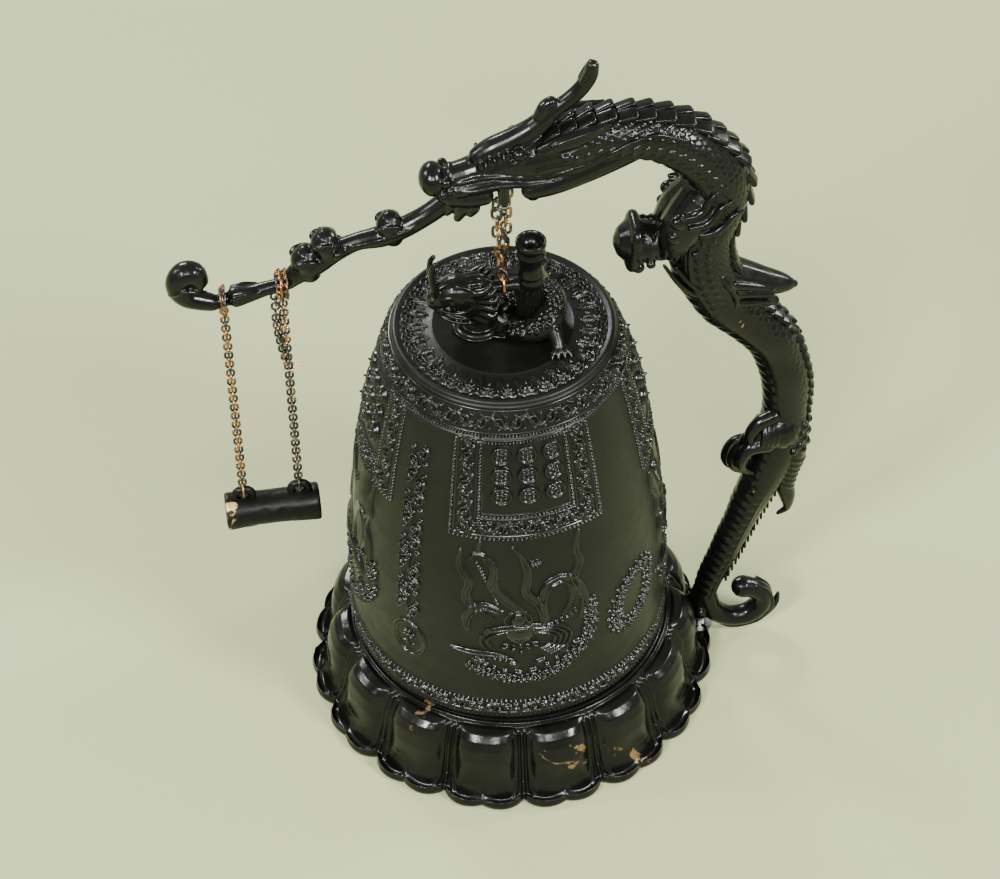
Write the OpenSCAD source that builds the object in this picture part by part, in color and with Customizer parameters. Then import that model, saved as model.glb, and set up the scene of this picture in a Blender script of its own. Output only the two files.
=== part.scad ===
// Table-top temple bell: a bronze bell hung by a chain from the mouth of a cast dragon that
// climbs out of a lotus base, with a striker log slung on two chains from the dragon's branch.
// +Z is up, the origin is the centre of the base's underside, and the dragon, branch and
// striker stand in the XZ plane, with the branch towards -X.

/* [Lotus base] */
// Radius over the tips of the petals
base_r = 80; // [76:0.5:86]
// Number of petals
petals = 15; // [9:1:21]
// Height of the rim that the bell hangs over
rim_z = 32.5; // [31:0.1:32.6]
// Outer radius of the rim
rim_r = 63.5; // [61:0.5:66]
// Wall thickness of the casting
base_wall = 4; // [3:0.5:5]

/* [Bell] */
// Height of the lip above the table
lip_z = 34; // [34:0.1:36]
// Radius of the lip
lip_r = 60.5; // [58:0.5:62]
// Height of the top disc
bell_top_z = 187.3; // [184:0.1:190]
// Radius of the top disc
bell_top_r = 39.7; // [36:0.1:42]
// Sideways place of the bell's axis from the base's centre
hang_x = -1; // [-2:0.5:2]

/* [Dragon] */
// Height of the cross pin in the jaw that the bell hangs from
jaw_pin_z = 252; // [250:0.5:254]
// Diameter of the cross pin
jaw_pin_d = 3; // [2.5:0.1:3.4]

/* [Striker chains] */
// Wire diameter
wire_d = 0.9; // [0.8:0.05:0.95]
// Inner length of a link
link_l = 2.4; // [2.35:0.05:2.5]
// Inner width of a link
link_w = 1.7; // [1.6:0.05:1.8]
// Number of links in each chain
striker_links = 41; // [37:2:41]

/* [Bell chain] */
// Wire diameter
bell_wire_d = 1.1; // [1:0.05:1.2]
// Inner length of a link
bell_link_l = 4.3; // [4.2:0.1:4.4]
// Inner width of a link
bell_link_w = 2.3; // [2.2:0.05:2.5]

/* [Striker] */
// Length of the log
log_l = 35.5; // [30:0.5:38]
// Diameter at the ends of the log
log_d = 14.4; // [12:0.1:16]
// Diameter at the waist of the log
waist_d = 13; // [11:0.1:14]
// Middle of the log, along X
log_x = -90; // [-94:0.5:-88]
// Distance between the two chains
chain_gap = 21; // [18:0.5:23]
// Height of the branch's middle at the left chain
left_twig_z = 214.5; // [212:0.5:218]

/* [Hidden] */
$fn = 48;

// Play left where two links hook together.
play = 0.15;
wire_r = wire_d / 2;
link_size = [link_l, link_w, wire_d];
link_half = (link_l + wire_d) / 2;
hook = wire_d + play;
link_pitch = 2 * link_half - hook;

felt_t = 1.2;
felt_r = 70;
post_x = 77;
post_pad_z = 14;
bolt_r = 2.5;
bolt_head_r = 4.6;
bolt_head_h = 2.6;
bolt_bore_r = 2.9;
bolt_head_z = 0.5;
washer_r = 5.2;
washer_t = 1;
post_washer_t = 0.4;

// The bell's chain is a loop: two strands that start side by side along X under the jaw pin
// and end front and back, along Y, round the crown's bar.
crown_bar_r = 2.4;
bell_link = [bell_link_l, bell_link_w, bell_wire_d];
bell_wire_r = bell_wire_d / 2;
bell_link_half = (bell_link_l + bell_wire_d) / 2;
bell_hook = bell_wire_d + 0.2;
bell_pitch = 2 * bell_link_half - bell_hook;
strand_r = 1.9;
strand_links = 9;
strand_turns = [0, 15, 30, 30, 45, 60, 60, 75, 90];
top_ring_r = 4;
low_ring_r = 4.5;
top_ring_z = jaw_pin_z - (top_ring_r - bell_wire_r - jaw_pin_d / 2 - 0.06);
top_bite = sqrt(top_ring_r * top_ring_r - strand_r * strand_r);
low_bite = sqrt(low_ring_r * low_ring_r - strand_r * strand_r);
strand_top_z = top_ring_z - top_bite + bell_hook - bell_link_half;
strand_low_z = strand_top_z - (strand_links - 1) * bell_pitch;
low_ring_z = strand_low_z - bell_link_half + bell_hook - low_bite;
crown_bar_z = low_ring_z - (low_ring_r - bell_wire_r - crown_bar_r - 0.06);
crown_bolt_r = 2;
bell_wall_top = 4;

// The branch is thin where a loop of wire goes round it; two links hang from the right loop to
// make up for the branch's slope, so that both chains are the same below.
twig_neck_r = 2.5;
twig_loop_r = twig_neck_r + 2 * wire_d + play + 0.05;
right_links = 2;
left_x = log_x - chain_gap / 2;
right_x = log_x + chain_gap / 2;
right_twig_z = left_twig_z + right_links * link_pitch;
swing_z = left_twig_z - twig_loop_r;
twig_slope = atan2(right_twig_z - left_twig_z, chain_gap);
first_link_z = swing_z + hook - link_half;
last_link_z = first_link_z - (striker_links - 1) * link_pitch;
lug_ring_r = 3.2;
lug_z = last_link_z - link_half + hook - 2 * lug_ring_r;
lug_bore_r = 1.5;
lug_r = 4.7;
lug_t = 4;
log_z = lug_z - log_d / 2 - 0.9;
// The right chain's spare end hangs beside it, from one link number to another, and turns
// about it on its way down to the wire tie.
spare_first = 2;
spare_last = 14;
spare_gap = 2.9;
spare_turn = 80;
tie_z = first_link_z - spare_last * link_pitch;

// Middle line of the dragon from its tail foot to its nose: x, z, diameter.
dragon_line = [
    [77, 18, 10], [81, 32, 11], [86, 47, 12], [91, 63, 13], [96, 79, 15], [102, 97, 18],
    [105, 113, 18], [106, 128, 18], [105, 142, 19], [102, 154, 19], [98, 164, 20],
    [92, 172, 20], [86, 179, 21], [80, 186, 22], [75, 196, 23], [71, 207, 24], [70, 220, 24],
    [74, 232, 23], [76, 241, 23], [75, 249, 23], [70, 257, 22], [62, 265, 21], [52, 270, 20],
    [42, 272, 20], [33, 272, 20], [24, 270, 20], [14, 267, 21], [4, 264, 19], [-6, 260, 16],
    [-16, 257, 13], [-24, 258, 11]
];
// Branches of the dragon's casting: x, y, z, diameter.
foot_curl = [[80, -1, 19, 9], [84, -2, 10, 8], [90, -2, 6, 8.5], [98, -2, 8, 9],
    [102, -2, 14, 9], [101, -2, 20, 8], [95, -2, 24, 9]];
fore_leg = [[70, 0, 217, 14], [60, 0, 217, 12], [50, 0, 217, 11], [42, 0, 218, 12]];
hind_leg = [[108, 0, 122, 11], [109, 0, 105, 11], [107, 0, 88, 8], [109, 0, 67, 3]];
rear_fin = [[90, 0, 186, 15], [103, 0, 189, 3]];
low_claw = [[100, 0, 112, 14], [90, 0, 106, 3]];
high_claw = [[100, 0, 122, 12], [91, 0, 119, 3]];
horn = [[-8, 0, 265, 7], [4, 0, 274, 6.5], [15, 0, 283, 6], [25, 0, 290, 5], [30, 0, 297, 4],
    [32, 0, 302, 2.5]];
horn_spur = [[14, 0, 282, 4], [17, 0, 291, 2]];
// Middle line of the branch from the jaw to its curled tip: x, y, z, diameter.
twig_start = [[-19, 0, 250, 8], [-27, 0, 242, 8], [-35, 0, 238, 8], [-44, 0, 236, 8],
    [-53, 0, 236, 8], [-61, 0, 232, 8.5], [-70, 0, 226, 8.5], [-75, 0, 221.5, 7]];
twig_tip = [[-105, 0, 214.5, 7], [-109, 0, 217, 7], [-113, 0, 221.5, 6.5], [-114, 0, 227, 6.5],
    [-110, 0, 231, 7.5]];
twig_knobs = [[-44, 244], [-72, 233], [-86, 224]];

// A rounded limb through a list of balls.
module limb(line) {
    for (i = [0 : len(line) - 2])
        hull() {
            translate([line[i][0], line[i][1], line[i][2]]) sphere(d = line[i][3], $fn = 14);
            translate([line[i + 1][0], line[i + 1][1], line[i + 1][2]])
                sphere(d = line[i + 1][3], $fn = 14);
        }
}

// A ring of wire in the XZ plane.
module ring(radius, wire) {
    rotate([90, 0, 0]) rotate_extrude() translate([radius, 0]) circle(r = wire, $fn = 32);
}

// One oval link in the XZ plane, its long way along Z. size is inner length, inner width, wire.
module link(size) {
    straight = size[0] - size[1];
    end_r = (size[1] + size[2]) / 2;
    for (side = [-1, 1])
        translate([side * end_r, 0, -straight / 2]) cylinder(d = size[2], h = straight, $fn = 32);
    for (end = [-1, 1])
        translate([0, 0, end * straight / 2]) rotate([end * 90, 0, 0])
            rotate_extrude(angle = 180) translate([end_r, 0]) circle(d = size[2], $fn = 32);
}

// A straight run of links hanging down from its first link's middle, each turned by 90 degrees.
module chain(count, first_turn) {
    for (i = [0 : count - 1])
        translate([0, 0, -i * link_pitch])
            rotate([0, 0, first_turn + 90 * (i % 2)]) link(link_size);
}

// Outline of half the base casting's skin: radius against height, outside the petals.
base_skin = [[84, 0], [84, 1.6], [78, 4], [73.5, 8], [71.5, 13], [70.5, 19], [68, 25], [65, 28.6],
    [rim_r, 29.6], [rim_r, rim_z], [rim_r - 7, rim_z], [rim_r - 9.5, rim_z - 6]];

module lotus_base() {
    lobe_r = 8.6;
    dish_z = rim_z - 7.5;
    color("#1b1d1c") difference() {
        union() {
            intersection() {
                rotate_extrude($fn = 96) polygon(concat([[0, 0]], base_skin, [[0, dish_z]]));
                linear_extrude(height = rim_z + 1) {
                    circle(r = base_r - 5, $fn = 96);
                    for (i = [0 : 2 * petals - 1])
                        rotate((i + 0.5) * 180 / petals - 90)
                            translate([base_r - lobe_r, 0]) circle(r = lobe_r);
                }
            }
            translate([post_x, 0, 1]) cylinder(d = 16, h = post_pad_z - 1);
        }
        // Hollow underside, open at the felt.
        rotate_extrude($fn = 96) polygon([[0, -1], [felt_r, -1], [felt_r, felt_t], [67.5, 8],
            [65.5, 19], [61, 24.5], [rim_r - 12, rim_z - 9], [rim_r - 14, dish_z - base_wall],
            [0, dish_z - base_wall]]);
        // Bore and counterbore of the dragon's bolt.
        translate([post_x, 0, -1]) cylinder(r = bolt_bore_r, h = post_pad_z + 2);
        translate([post_x, 0, -1]) cylinder(r = washer_r + 0.3, h = bolt_head_h + washer_t + 1.6);
    }
}

module base_felt() {
    color("#27402f") cylinder(r = felt_r - 0.1, h = felt_t - 0.1, $fn = 96);
}

module post_bolt() {
    shank_l = 22;
    color("#8d8f8e") translate([post_x, 0, bolt_head_z]) {
        cylinder(r = bolt_head_r, h = bolt_head_h);
        cylinder(r = bolt_r, h = bolt_head_h + shank_l);
    }
}

module post_washer() {
    color("#a8a9a6") translate([post_x, 0, bolt_head_z + bolt_head_h + 0.05]) difference() {
        cylinder(r = washer_r, h = post_washer_t);
        translate([0, 0, -1]) cylinder(r = bolt_r + 0.05, h = post_washer_t + 2);
    }
}

module dragon_post() {
    mouth_w = [11, 7.2];
    mouth_z = 240;
    cuff = [41.5, 218, 16, 3];
    color("#1b1d1c") difference() {
        union() {
            limb([for (p = dragon_line) [p[0], 0, p[1], p[2]]]);
            hull() {
                translate([post_x, 0, post_pad_z]) cylinder(d = 11, h = 1, $fn = 24);
                translate([post_x, 0, 20]) sphere(d = 10, $fn = 14);
            }
            limb(foot_curl);
            limb(fore_leg);
            translate([cuff[0], 0, cuff[1]]) rotate([0, -90, 0])
                cylinder(d = cuff[2], h = cuff[3], $fn = 24);
            limb(hind_leg);
            limb(rear_fin);
            limb(low_claw);
            limb(high_claw);
            limb(horn);
            limb(horn_spur);
            jaw_cheeks();
        }
        // Mouth slot that the bell's chain hangs in.
        translate([hang_x - mouth_w[0] / 2, -mouth_w[1] / 2, mouth_z])
            cube([mouth_w[0], mouth_w[1], jaw_pin_z + 5 - mouth_z]);
    }
}

// The two cheeks of the lower jaw, one on each side of the chain.
module jaw_cheeks() {
    for (side = [-1, 1])
        hull() {
            translate([-16, side * 3.5, 254]) sphere(d = 5, $fn = 14);
            translate([hang_x, side * 6, jaw_pin_z]) sphere(d = 5.5, $fn = 14);
            translate([10, side * 5.5, 258]) sphere(d = 6, $fn = 14);
            translate([hang_x, side * 5.5, 262]) sphere(d = 6, $fn = 14);
        }
}

module branch() {
    neck = [cos(twig_slope), 0, sin(twig_slope)];
    color("#1b1d1c") {
        limb(twig_start);
        limb([[-75, 0, 221.5, 7], [right_x + 2.5, 0, right_twig_z + 0.6, 2 * twig_neck_r]]);
        limb([concat([right_x, 0, right_twig_z] + 2.5 * neck, [2 * twig_neck_r]),
            concat([right_x, 0, right_twig_z] - 2.5 * neck, [2 * twig_neck_r])]);
        limb([concat([right_x, 0, right_twig_z] - 2.5 * neck, [2 * twig_neck_r]),
            [log_x, 0, (left_twig_z + right_twig_z) / 2, 7.5],
            concat([left_x, 0, left_twig_z] + 2.5 * neck, [2 * twig_neck_r])]);
        limb([concat([left_x, 0, left_twig_z] + 2.5 * neck, [2 * twig_neck_r]),
            concat([left_x, 0, left_twig_z] - 2 * neck, [2 * twig_neck_r]), twig_tip[0]]);
        limb(twig_tip);
        for (knob = twig_knobs)
            limb([[knob[0], 0, knob[1], 5], [knob[0] - 1, 0, knob[1] - 7, 6]]);
    }
}

module jaw_pin() {
    pin_l = 16.8;
    color("#6f7170") translate([hang_x, pin_l / 2, jaw_pin_z]) rotate([90, 0, 0])
        cylinder(d = jaw_pin_d, h = pin_l);
}

// Links from number first to number last of both strands of the bell's chain.
module strands(first, last) {
    for (side = [0, 180], i = [first : last])
        rotate([0, 0, side + strand_turns[i]])
            translate([strand_r, 0, strand_top_z - i * bell_pitch])
                rotate([0, 0, 45 + 90 * (i % 2)]) link(bell_link);
}

module bell_chain_top() {
    color("#8a5a33") translate([hang_x, 0, 0]) {
        translate([0, 0, top_ring_z]) ring(top_ring_r, bell_wire_r);
        strands(0, 2);
    }
}

module bell_chain_middle() {
    color("#8a5a33") translate([hang_x, 0, 0]) strands(3, 5);
}

module bell_chain_low() {
    color("#8a5a33") translate([hang_x, 0, 0]) {
        strands(6, strand_links - 1);
        translate([0, 0, low_ring_z]) rotate([0, 0, 90]) ring(low_ring_r, bell_wire_r);
    }
}

// Half outline of the bell's skin, from the lip up to the shoulder.
bell_skin = [[lip_r, lip_z], [lip_r + 0.6, lip_z + 1.2], [lip_r + 0.3, lip_z + 2.6],
    [lip_r + 0.3, 52], [60.4, 53], [60.2, 70], [59.3, 92], [57.4, 112], [54.6, 131],
    [51.2, 149], [47.6, 165], [45.4, 173], [44.9, 174], [43, 180.5], [bell_top_r + 1.4, 185],
    [bell_top_r, bell_top_z]];
bell_hollow = [[8, bell_top_z - bell_wall_top], [37, 182.6], [41, 173], [47.2, 149], [50.9, 131],
    [53.9, 112], [55.7, 92], [56.2, 70], [55.4, 52], [54.6, lip_z + 2], [54.8, lip_z]];

module bell_shell() {
    color("#2b2e2c") translate([hang_x, 0, 0]) difference() {
        rotate_extrude($fn = 96)
            polygon(concat(bell_skin, [[0, bell_top_z], [0, bell_top_z - bell_wall_top]],
                bell_hollow));
        translate([0, 0, bell_top_z - bell_wall_top - 3])
            cylinder(r = crown_bolt_r + 0.3, h = bell_wall_top + 6);
    }
}

module crown_dragon() {
    foot_z = bell_top_z + 0.02;
    head = [[-25, 0, 222, 2.5], [-23, 0, 214, 5], [-20, 0, 206, 11], [-15, 0, 199, 13],
        [-12, 0, 194, 13]];
    back = [[-15, 0, 201, 11], [-10, 0, 206, 7], [-6, 0, crown_bar_z, 2 * crown_bar_r],
        [5, 0, crown_bar_z, 2 * crown_bar_r], [8, 0, 204, 8], [10, 1, 196, 10]];
    leg = [[12, -1, 200, 9], [15, -8, 199, 7], [17, -15, 192, 6]];
    color("#1f2120") translate([hang_x, 0, 0]) intersection() {
        translate([-40, -40, foot_z]) cube([80, 80, 60]);
        union() {
            translate([0, 0, foot_z]) cylinder(r = 8, h = 2.4, $fn = 32);
            hull() {
                translate([-13, 0, foot_z]) cylinder(r = 6, h = 2.4, $fn = 32);
                translate([13, 0, foot_z]) cylinder(r = 6, h = 2.4, $fn = 32);
            }
            limb(head);
            limb(back);
            limb(leg);
            limb([[17, -15, 192, 6], [18, -18, 188, 5]]);
            limb([[10, 1, 196, 10], [12, 2, 190, 11]]);
        }
    }
}

module sound_tube() {
    tube_h = 41;
    color("#242625") translate([hang_x + 10, -2, bell_top_z + 2.45]) rotate_extrude()
        polygon([[0, 0], [5, 0], [5, 4], [4.3, 6], [4.3, 20], [4.8, 21], [4.8, 24], [4.3, 25],
            [4.3, 34], [5, 36], [5, tube_h - 2.5], [3.8, tube_h - 2.5], [2.6, tube_h - 6],
            [0, tube_h - 7]]);
}

module crown_bolt() {
    head_z = bell_top_z - bell_wall_top - washer_t - bolt_head_h;
    color("#8d8f8e") translate([hang_x, 0, 0]) {
        translate([0, 0, head_z]) cylinder(r = 3.6, h = bolt_head_h);
        translate([0, 0, head_z + bolt_head_h - 0.1]) cylinder(r = crown_bolt_r, h = 7);
    }
}

module crown_washer() {
    color("#a8a9a6") translate([hang_x, 0, bell_top_z - bell_wall_top - washer_t]) difference() {
        cylinder(r = 5, h = washer_t);
        translate([0, 0, -1]) cylinder(r = crown_bolt_r + 0.05, h = washer_t + 2);
    }
}

module twig_loop_left() {
    color("#8a5a33") translate([left_x, 0, left_twig_z]) rotate([0, 0, 90]) ring(twig_loop_r, wire_r);
}

module twig_loop_right() {
    color("#8a5a33") translate([right_x, 0, right_twig_z]) {
        rotate([0, 0, 90]) ring(twig_loop_r, wire_r);
        translate([0, 0, -twig_loop_r + hook - link_half]) chain(right_links, 0);
    }
}

// The ring through a lug of the striker, which hangs from the last link.
module lug_ring() {
    translate([0, 0, lug_z + lug_ring_r]) rotate([0, 0, 90]) ring(lug_ring_r, wire_r);
}

module striker_chain_left() {
    color("#8a5a33") translate([left_x, 0, 0]) {
        translate([0, 0, first_link_z]) chain(striker_links, 0);
        lug_ring();
    }
}

// Place of link number i of the right chain's spare end, from the chain's own middle line.
function spare_angle(i) = spare_turn * (i - spare_first) / (spare_last - spare_first);
function spare_place(i) = [-spare_gap * cos(spare_angle(i)), spare_gap * sin(spare_angle(i)),
    first_link_z - i * link_pitch];

module striker_chain_right() {
    color("#3b3530") translate([right_x, 0, 0]) {
        translate([0, 0, first_link_z]) chain(striker_links, 0);
        for (i = [spare_first : spare_last])
            translate(spare_place(i)) rotate([0, 0, 90 + 90 * (i % 2)]) link(link_size);
        lug_ring();
    }
}

// A turn of thin wire through the spare end's last link, with its cut end standing out.
module wire_tie() {
    tie_r = 0.2;
    loop_r = link_w / 2 + wire_d + 0.55;
    whisker_l = 4;
    color("#a9793e") translate([right_x, 0, tie_z]) {
        rotate_extrude() translate([loop_r, 0]) circle(r = tie_r);
        translate([loop_r, 0, 0]) rotate([20, 75, 0]) cylinder(r = tie_r, h = whisker_l);
    }
}

module striker_log() {
    half = log_l / 2;
    edge = 0.8;
    color("#1d1f1e") difference() {
        union() {
            translate([log_x, 0, log_z]) rotate([0, 90, 0]) rotate_extrude()
                polygon([[0, -half], [log_d / 2 - edge, -half], [log_d / 2, edge - half],
                    [waist_d / 2 + 0.2, -6], [waist_d / 2, 0], [waist_d / 2 + 0.2, 6],
                    [log_d / 2, half - edge], [log_d / 2 - edge, half], [0, half]]);
            for (x = [left_x, right_x])
                translate([x, lug_t / 2, lug_z - 1.2]) rotate([90, 0, 0])
                    cylinder(r = lug_r, h = lug_t);
        }
        for (x = [left_x, right_x])
            translate([x, lug_t, lug_z]) rotate([90, 0, 0]) cylinder(r = lug_bore_r, h = 2 * lug_t);
    }
}

lotus_base();
base_felt();
post_bolt();
post_washer();
dragon_post();
branch();
jaw_pin();
bell_chain_top();
bell_chain_middle();
bell_chain_low();
bell_shell();
crown_dragon();
sound_tube();
crown_bolt();
crown_washer();
twig_loop_left();
twig_loop_right();
striker_chain_left();
striker_chain_right();
wire_tie();
striker_log();
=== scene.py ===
"""Table-top temple bell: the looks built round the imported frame.

Shapes are worked out in millimetres, in the frame's own axes, and build() turns them into metres.
Azimuths on the bell are in degrees from the front, -Y, and grow towards +X.
"""
import math

import bpy
import numpy as np
from mathutils import Matrix, Vector


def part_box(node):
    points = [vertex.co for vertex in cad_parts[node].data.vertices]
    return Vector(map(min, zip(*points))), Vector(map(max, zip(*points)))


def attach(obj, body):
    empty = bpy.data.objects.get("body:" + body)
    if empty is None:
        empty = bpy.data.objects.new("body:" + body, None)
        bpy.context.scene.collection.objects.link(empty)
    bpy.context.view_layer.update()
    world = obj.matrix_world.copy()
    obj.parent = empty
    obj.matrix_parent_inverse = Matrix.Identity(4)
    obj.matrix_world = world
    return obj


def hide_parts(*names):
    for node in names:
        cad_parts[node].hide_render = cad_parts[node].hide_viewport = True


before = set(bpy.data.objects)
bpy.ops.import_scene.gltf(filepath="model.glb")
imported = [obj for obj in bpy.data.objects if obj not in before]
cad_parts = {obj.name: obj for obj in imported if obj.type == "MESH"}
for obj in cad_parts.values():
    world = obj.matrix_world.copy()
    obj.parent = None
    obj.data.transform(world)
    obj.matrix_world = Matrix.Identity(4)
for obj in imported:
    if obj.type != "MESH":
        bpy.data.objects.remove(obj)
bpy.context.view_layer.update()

MM = 0.001
rng = np.random.default_rng(7)


def box_mm(node):
    """Lowest and highest corner of a CAD node, in millimetres."""
    low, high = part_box(node)
    return np.array(low) / MM, np.array(high) / MM


# ---------------------------------------------------------------- places taken from the frame
bell_low, bell_high = box_mm("bell_shell")
base_high = box_mm("lotus_base")[1]
tube_low, tube_high = box_mm("sound_tube")
log_low, log_high = box_mm("striker_log")
LIP_RELIEF = 0.6  # how far the lip band stands out of the wall
WIRE_R = 0.45  # wire of the striker's chains
LOG_DENTS = 150
BELL_X = (bell_low[0] + bell_high[0]) / 2
LIP_Z, TOP_Z = bell_low[2], bell_high[2]
LIP_R = (bell_high[0] - bell_low[0]) / 2 - LIP_RELIEF
TOP_R = 39.7
RIM_Z = base_high[2]
PETALS = 15


# ---------------------------------------------------------------- mesh tools
def grid_faces(rows, cols, wrap_cols=False, wrap_rows=False):
    """Quads of a grid of points stored row by row."""
    r = np.arange(rows if wrap_rows else rows - 1)
    c = np.arange(cols if wrap_cols else cols - 1)
    r, c = (a.ravel() for a in np.meshgrid(r, c, indexing="ij"))
    r2, c2 = (r + 1) % rows, (c + 1) % cols
    return np.stack([r * cols + c, r * cols + c2, r2 * cols + c2, r2 * cols + c], 1)


def make_mesh(name, verts, faces):
    mesh = bpy.data.meshes.new(name)
    faces = faces.tolist() if isinstance(faces, np.ndarray) else faces
    mesh.from_pydata((np.asarray(verts, float) * MM).tolist(), [], faces)
    mesh.validate()
    piece = bpy.data.objects.new(name, mesh)
    bpy.context.scene.collection.objects.link(piece)
    return piece


def outward(verts, faces):
    """The faces, turned round if they look into the shape."""
    v = np.asarray(verts, float)
    volume = 0.0
    for k in (1, 2):
        fan = [(f[0], f[k], f[k + 1]) for f in faces if len(f) > k + 1]
        a, b, c = (v[list(column)] for column in zip(*fan)) if fan else (v[:1], v[:1], v[:1])
        volume += np.einsum("ij,ij->", a, np.cross(b, c))
    return faces if volume > 0 else [list(f)[::-1] for f in faces]


def build(name, verts, faces, material, body, slot, stands_for=(), smooth=True):
    """A piece from points in millimetres, with its material and its body; the slot argument is not
    used.
    """
    faces = outward(verts, faces.tolist() if isinstance(faces, np.ndarray) else faces)
    piece = make_mesh(name, verts, faces)
    return dress(piece, material, body, stands_for, smooth)


def dress(piece, material, body, stands_for=(), smooth=True):
    piece.data.materials.clear()
    piece.data.materials.append(material)
    piece.data.polygons.foreach_set("use_smooth", [smooth] * len(piece.data.polygons))
    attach(piece, body)
    if stands_for:
        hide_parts(*stands_for)
    return piece


def join(parts):
    """One (points, faces) pair from several."""
    verts, faces, start = [], [], 0
    for v, f in parts:
        verts.append(np.asarray(v, float))
        if isinstance(f, np.ndarray):
            f = f.tolist()
        faces += [[i + start for i in face] for face in f]
        start += len(v)
    return np.vstack(verts), faces


def smooth_line(points, step=1.0):
    """Catmull-Rom curve through the points, in steps of about that many millimetres."""
    p = np.array(points, float)
    e = np.vstack([2 * p[0] - p[1], p, 2 * p[-1] - p[-2]])
    rows = []
    dims = min(3, p.shape[1])
    for i in range(len(p) - 1):
        a, b, c, d = e[i:i + 4]
        n = max(2, int(np.linalg.norm((c - b)[:dims]) / step))
        t = np.linspace(0, 1, n, endpoint=False)[:, None]
        rows.append(0.5 * (2 * b + (c - a) * t + (2 * a - 5 * b + 4 * c - d) * t * t + (3 * b - a
            - 3 * c + d) * t ** 3))
    return np.vstack(rows + [p[-1:]])


def sections(line, flat_to=None):
    """Tangent, side and up vectors along a line, turned as little as possible."""
    p = line[:, :3]
    t = np.gradient(p, axis=0)
    t /= np.linalg.norm(t, axis=1)[:, None] + 1e-12
    up = np.array(flat_to if flat_to is not None else (0, 1, 0), float)
    ups = []
    for tangent in t:
        up = up - tangent * (up @ tangent)
        if np.linalg.norm(up) < 1e-6:
            up = np.cross(tangent, (1, 0, 0))
        up = up / np.linalg.norm(up)
        ups.append(up)
    ups = np.array(ups)
    return t, np.cross(t, ups), ups


def bar(points, sides=12, step=1.0, squeeze=1.0, flat_to=None, section=None):
    """A closed bar with round ends along points x, y, z, radius.

    squeeze flattens it along the up vector, and section gives the radius factor round it.
    """
    line = smooth_line(points, step)
    line[:, 3] = np.maximum(line[:, 3], 0.05)
    t, side, up = sections(line, flat_to)
    caps = np.radians([80, 55, 28])
    first, last = line[0], line[-1]
    centre = [first[:3] - t[0] * first[3] * math.sin(a) for a in caps]
    radius = [first[3] * math.cos(a) for a in caps]
    ts, ss, us = [t[0]] * 3, [side[0]] * 3, [up[0]] * 3
    centre += list(line[:, :3])
    radius += list(line[:, 3])
    ts, ss, us = ts + list(t), ss + list(side), us + list(up)
    centre += [last[:3] + t[-1] * last[3] * math.sin(a) for a in caps[::-1]]
    radius += [last[3] * math.cos(a) for a in caps[::-1]]
    ss, us = np.array(ss + [side[-1]] * 3), np.array(us + [up[-1]] * 3)
    a = np.linspace(0, 2 * np.pi, sides, endpoint=False)
    shape = np.ones(sides) if section is None else section(a)
    centre, radius = np.array(centre), np.array(radius)
    v = (centre[:, None, :] + radius[:, None, None] * shape[None, :, None] * (np.cos(a)[None, :,
        None] * ss[:, None, :] + squeeze * np.sin(a)[None, :, None] * us[:, None, :]))
    rows = len(centre)
    faces = grid_faces(rows, sides, wrap_cols=True).tolist()
    v = v.reshape(-1, 3)
    tips = np.array([first[:3] - t[0] * first[3], last[:3] + t[-1] * last[3]])
    n = len(v)
    faces += [[n, (i + 1) % sides, i] for i in range(sides)]
    base = (rows - 1) * sides
    faces += [[n + 1, base + i, base + (i + 1) % sides] for i in range(sides)]
    return np.vstack([v, tips]), [face[::-1] for face in faces]


def ball(centre, radii, rings=12, sides=18, turn=None):
    """A closed ellipsoid."""
    radii = np.broadcast_to(np.array(radii, float), 3)
    e = np.radians(np.linspace(-90, 90, rings + 2)[1:-1])
    a = np.linspace(0, 2 * np.pi, sides, endpoint=False)
    v = np.stack([np.cos(e)[:, None] * np.cos(a), np.cos(e)[:, None] * np.sin(a),
        np.sin(e)[:, None] * np.ones(sides)], -1).reshape(-1, 3)
    v = np.vstack([v, [[0, 0, -1], [0, 0, 1]]]) * radii
    if turn is not None:
        v = v @ np.array(Matrix.Rotation(math.radians(turn[1]), 3, turn[0])).T
    faces = grid_faces(rings, sides, wrap_cols=True).tolist()
    n, base = rings * sides, (rings - 1) * sides
    faces += [[n, (i + 1) % sides, i] for i in range(sides)]
    faces += [[n + 1, base + i, base + (i + 1) % sides] for i in range(sides)]
    return v + np.array(centre, float), faces


def revolve(outline, sides, closed=False):
    """Points r, z turned round the Z axis; an outline that starts and ends at r = 0 is closed."""
    o = np.array(outline, float)
    a = np.linspace(0, 2 * np.pi, sides, endpoint=False)
    v = np.stack([o[:, 0, None] * np.cos(a), o[:, 0, None] * np.sin(a), o[:, 1,
        None] * np.ones(sides)], -1)
    return v.reshape(-1, 3), grid_faces(len(o), sides, wrap_cols=True, wrap_rows=closed)


def fuse(name, parts, voxel, smooth_steps=2, strength=0.5):
    """Melts overlapping closed shapes into one skin and returns its points and faces."""
    piece = make_mesh(name + "_melt", *join(parts))
    mod = piece.modifiers.new("melt", "REMESH")
    mod.mode = "VOXEL"
    mod.voxel_size = voxel * MM
    mod.adaptivity = 0
    if smooth_steps:
        soft = piece.modifiers.new("soft", "SMOOTH")
        soft.factor = strength
        soft.iterations = smooth_steps
    graph = bpy.context.evaluated_depsgraph_get()
    made = bpy.data.meshes.new_from_object(piece.evaluated_get(graph))
    verts = np.empty(len(made.vertices) * 3)
    made.vertices.foreach_get("co", verts)
    faces = [list(f.vertices) for f in made.polygons]
    bpy.data.objects.remove(piece)
    bpy.data.meshes.remove(made)
    return verts.reshape(-1, 3) / MM, faces


# ---------------------------------------------------------------- node materials
def node_tree(name):
    material = bpy.data.materials.new(name)
    material.use_nodes = True
    tree = material.node_tree
    return material, tree, tree.nodes["Principled BSDF"]


def link(tree, source, target):
    tree.links.new(source, target)


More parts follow.
